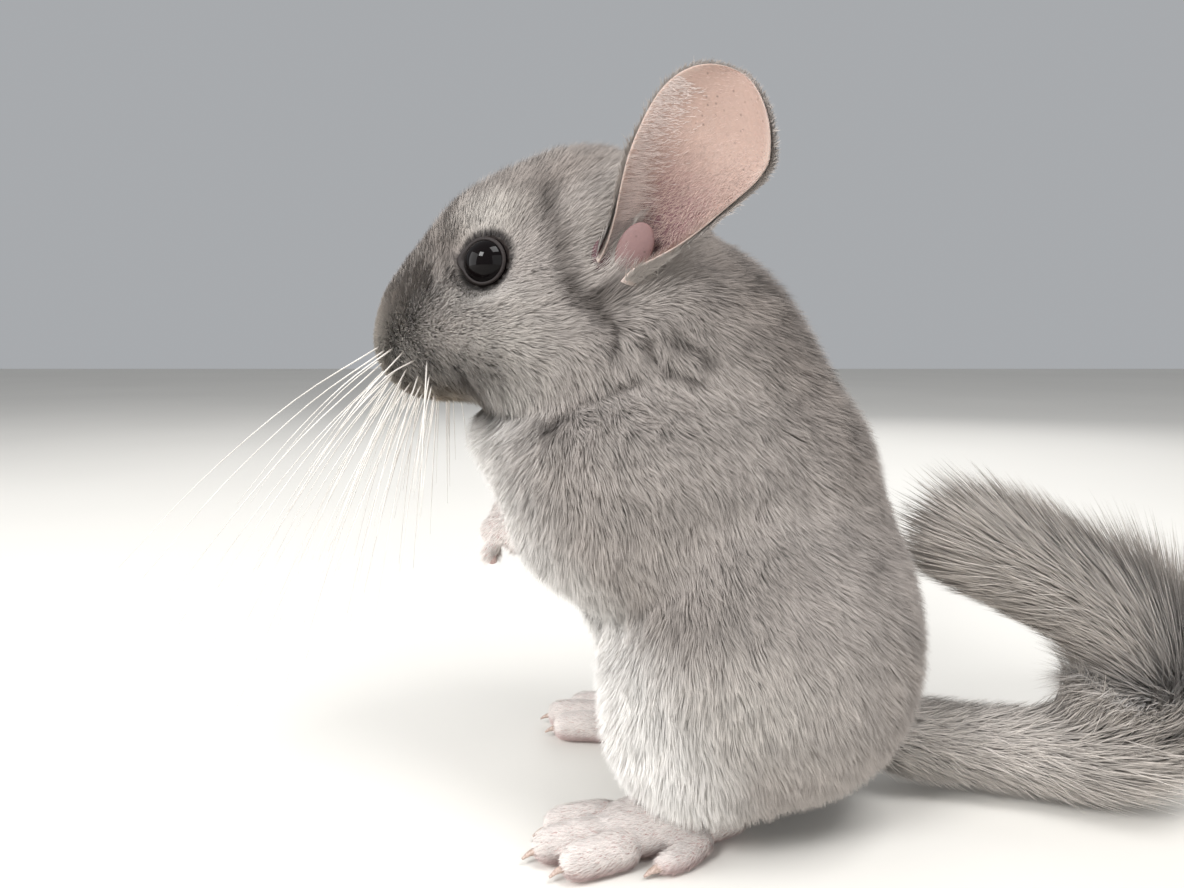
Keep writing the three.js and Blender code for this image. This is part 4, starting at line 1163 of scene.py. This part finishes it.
def hair_line(t):
    """Where each hair is at a share t of its own length: along the tail, blended between its bent line
    and the straight one by how far out the hair grows, and out from the core by t to the power 0.8."""
    start, ahead, _, _ = tail_frame(share)
    bent, _, over, cross = tail_frame(share + long * t / TAIL_LENGTH)
    straight = start + ahead * (long * t)[:, None]
    middle = mix(bent, straight, outerness[:, None])
    angle = turn + stray * t
    spoke = cross * np.cos(angle)[:, None] + over * np.sin(angle)[:, None]
    core_out = tail_core_radius(share) - 0.4
    return middle + spoke * mix(core_out, np.maximum(reach, core_out + 1), t**0.8)[:, None]


# A hair is a flat strand of five points: two at the root, two half way and one at the tip.
lines = [hair_line(t) for t in (0.0, 0.5, 1.0)]
middle = tail_frame(share)[0]
out = unit(lines[1] - middle)
half_width = mix(0.13, 0.19, swell)[:, None]
hair = []
for k in range(2):
    heading = unit(lines[k + 1] - lines[k])
    side_way = unit(np.cross(heading, out) + 0.4 * draw.normal(size=out.shape) * (k == 0))
    hair += [lines[k] - side_way * half_width, lines[k] + side_way * half_width]
hair.append(lines[2])
hair = np.stack(hair, 1)
hair[:, :, 2] = np.maximum(hair[:, :, 2], 0.25)
STRAND = np.array([[0, 1, 3], [0, 3, 2], [2, 3, 4]])
faces = (STRAND[None] + 5 * np.arange(TAIL_HAIRS)[:, None, None]).reshape(-1, 3)
mesh = made_mesh("tail_hair", placed(hair.reshape(-1, 3)), faces)
tone = mix(TAIL_DARK, TAIL_TIP, (0.3 + 0.3 * (1 - swell))[:, None])
tone = tone * draw.uniform(0.7, 1.3, (TAIL_HAIRS, 1))
painted(mesh, np.repeat(tone, 5, axis=0))
along = np.tile([0, 0, 0.5, 0.5, 1.0], TAIL_HAIRS)
mesh.attributes.new("along", "FLOAT", "POINT").data.foreach_set("value", along)
patch = np.array([[-1.5, -1.5], [1.5, -1.5], [-1.2, 0], [1.2, 0], [0, 1.5]]) / 1000
spot = np.stack([turn / (2 * np.pi), share], 1)[:, None] * 0.994 + 0.003 + patch[None]
mesh.uv_layers.new(name="OFBake").data.foreach_set("uv", spot.reshape(-1, 2)[faces.ravel()].ravel())
finish_piece("tail_brush", mesh, fur_material("coarse_tail_hair", 0.45, 1.6))

# Floor and light
# A plain pale floor and soft studio light, mostly from above and in front of the animal.
FLOOR_CORNERS = np.array([(-1, -1, 0), (1, -1, 0), (1, 1, 0), (-1, 1, 0)]) * 3.0  # metres
floor_mesh = made_mesh("floor", FLOOR_CORNERS, np.array([[0, 1, 2, 3]]))
floor_paint, tree = new_material("pale_matt_floor")
place = add_node(tree, "ShaderNodeTexCoord").outputs["Object"]
cloud = add_node(tree, "ShaderNodeTexNoise", Vector=place, Scale=3.0)
ramp = add_node(tree, "ShaderNodeValToRGB", Fac=cloud.outputs["Fac"])
ramp.color_ramp.elements[0].color = (*linear("#d9d6d0"), 1)
ramp.color_ramp.elements[1].color = (*linear("#e3e0da"), 1)
set_shader(tree, add_node(tree, "ShaderNodeBsdfPrincipled", Base_Color=ramp.outputs[0], Roughness=0.8))
floor_mesh.materials.append(floor_paint)
floor = bpy.data.objects.new("floor", floor_mesh)
bpy.context.collection.objects.link(floor)

AIM = np.array([0, 0, 0.08])  # the animal's middle, in metres
LIGHTS = (  # name, place and size in metres, and watts
    ("key", (0.75, -0.6, 0.85), 0.35, 11),
    ("top", (0.35, 0.35, 1.1), 0.5, 8),
    ("fill", (0.8, 0.7, 0.35), 0.9, 3.5),
    ("front", (0.25, -1.0, 0.4), 0.8, 7),
    ("rim", (-0.8, 0.2, 0.6), 0.8, 3),
)
for name, at, size, watts in LIGHTS:
    lamp = bpy.data.objects.new(name, bpy.data.lights.new(name, "AREA"))
    lamp.data.size = size
    lamp.data.energy = watts
    lamp.location = at
    x, y, z = AIM - np.array(at)
    lamp.rotation_euler = (math.atan2(math.hypot(x, y), -z), 0, math.atan2(x, -y) + math.pi)
    bpy.context.collection.objects.link(lamp)
sky = bpy.data.worlds.new("studio")
sky.use_nodes = True
sky.node_tree.nodes["Background"].inputs["Color"].default_value = (0.93, 0.96, 1.0, 1)
sky.node_tree.nodes["Background"].inputs["Strength"].default_value = 0.42
bpy.context.scene.world = sky
bpy.context.scene.view_settings.view_transform = "Standard"
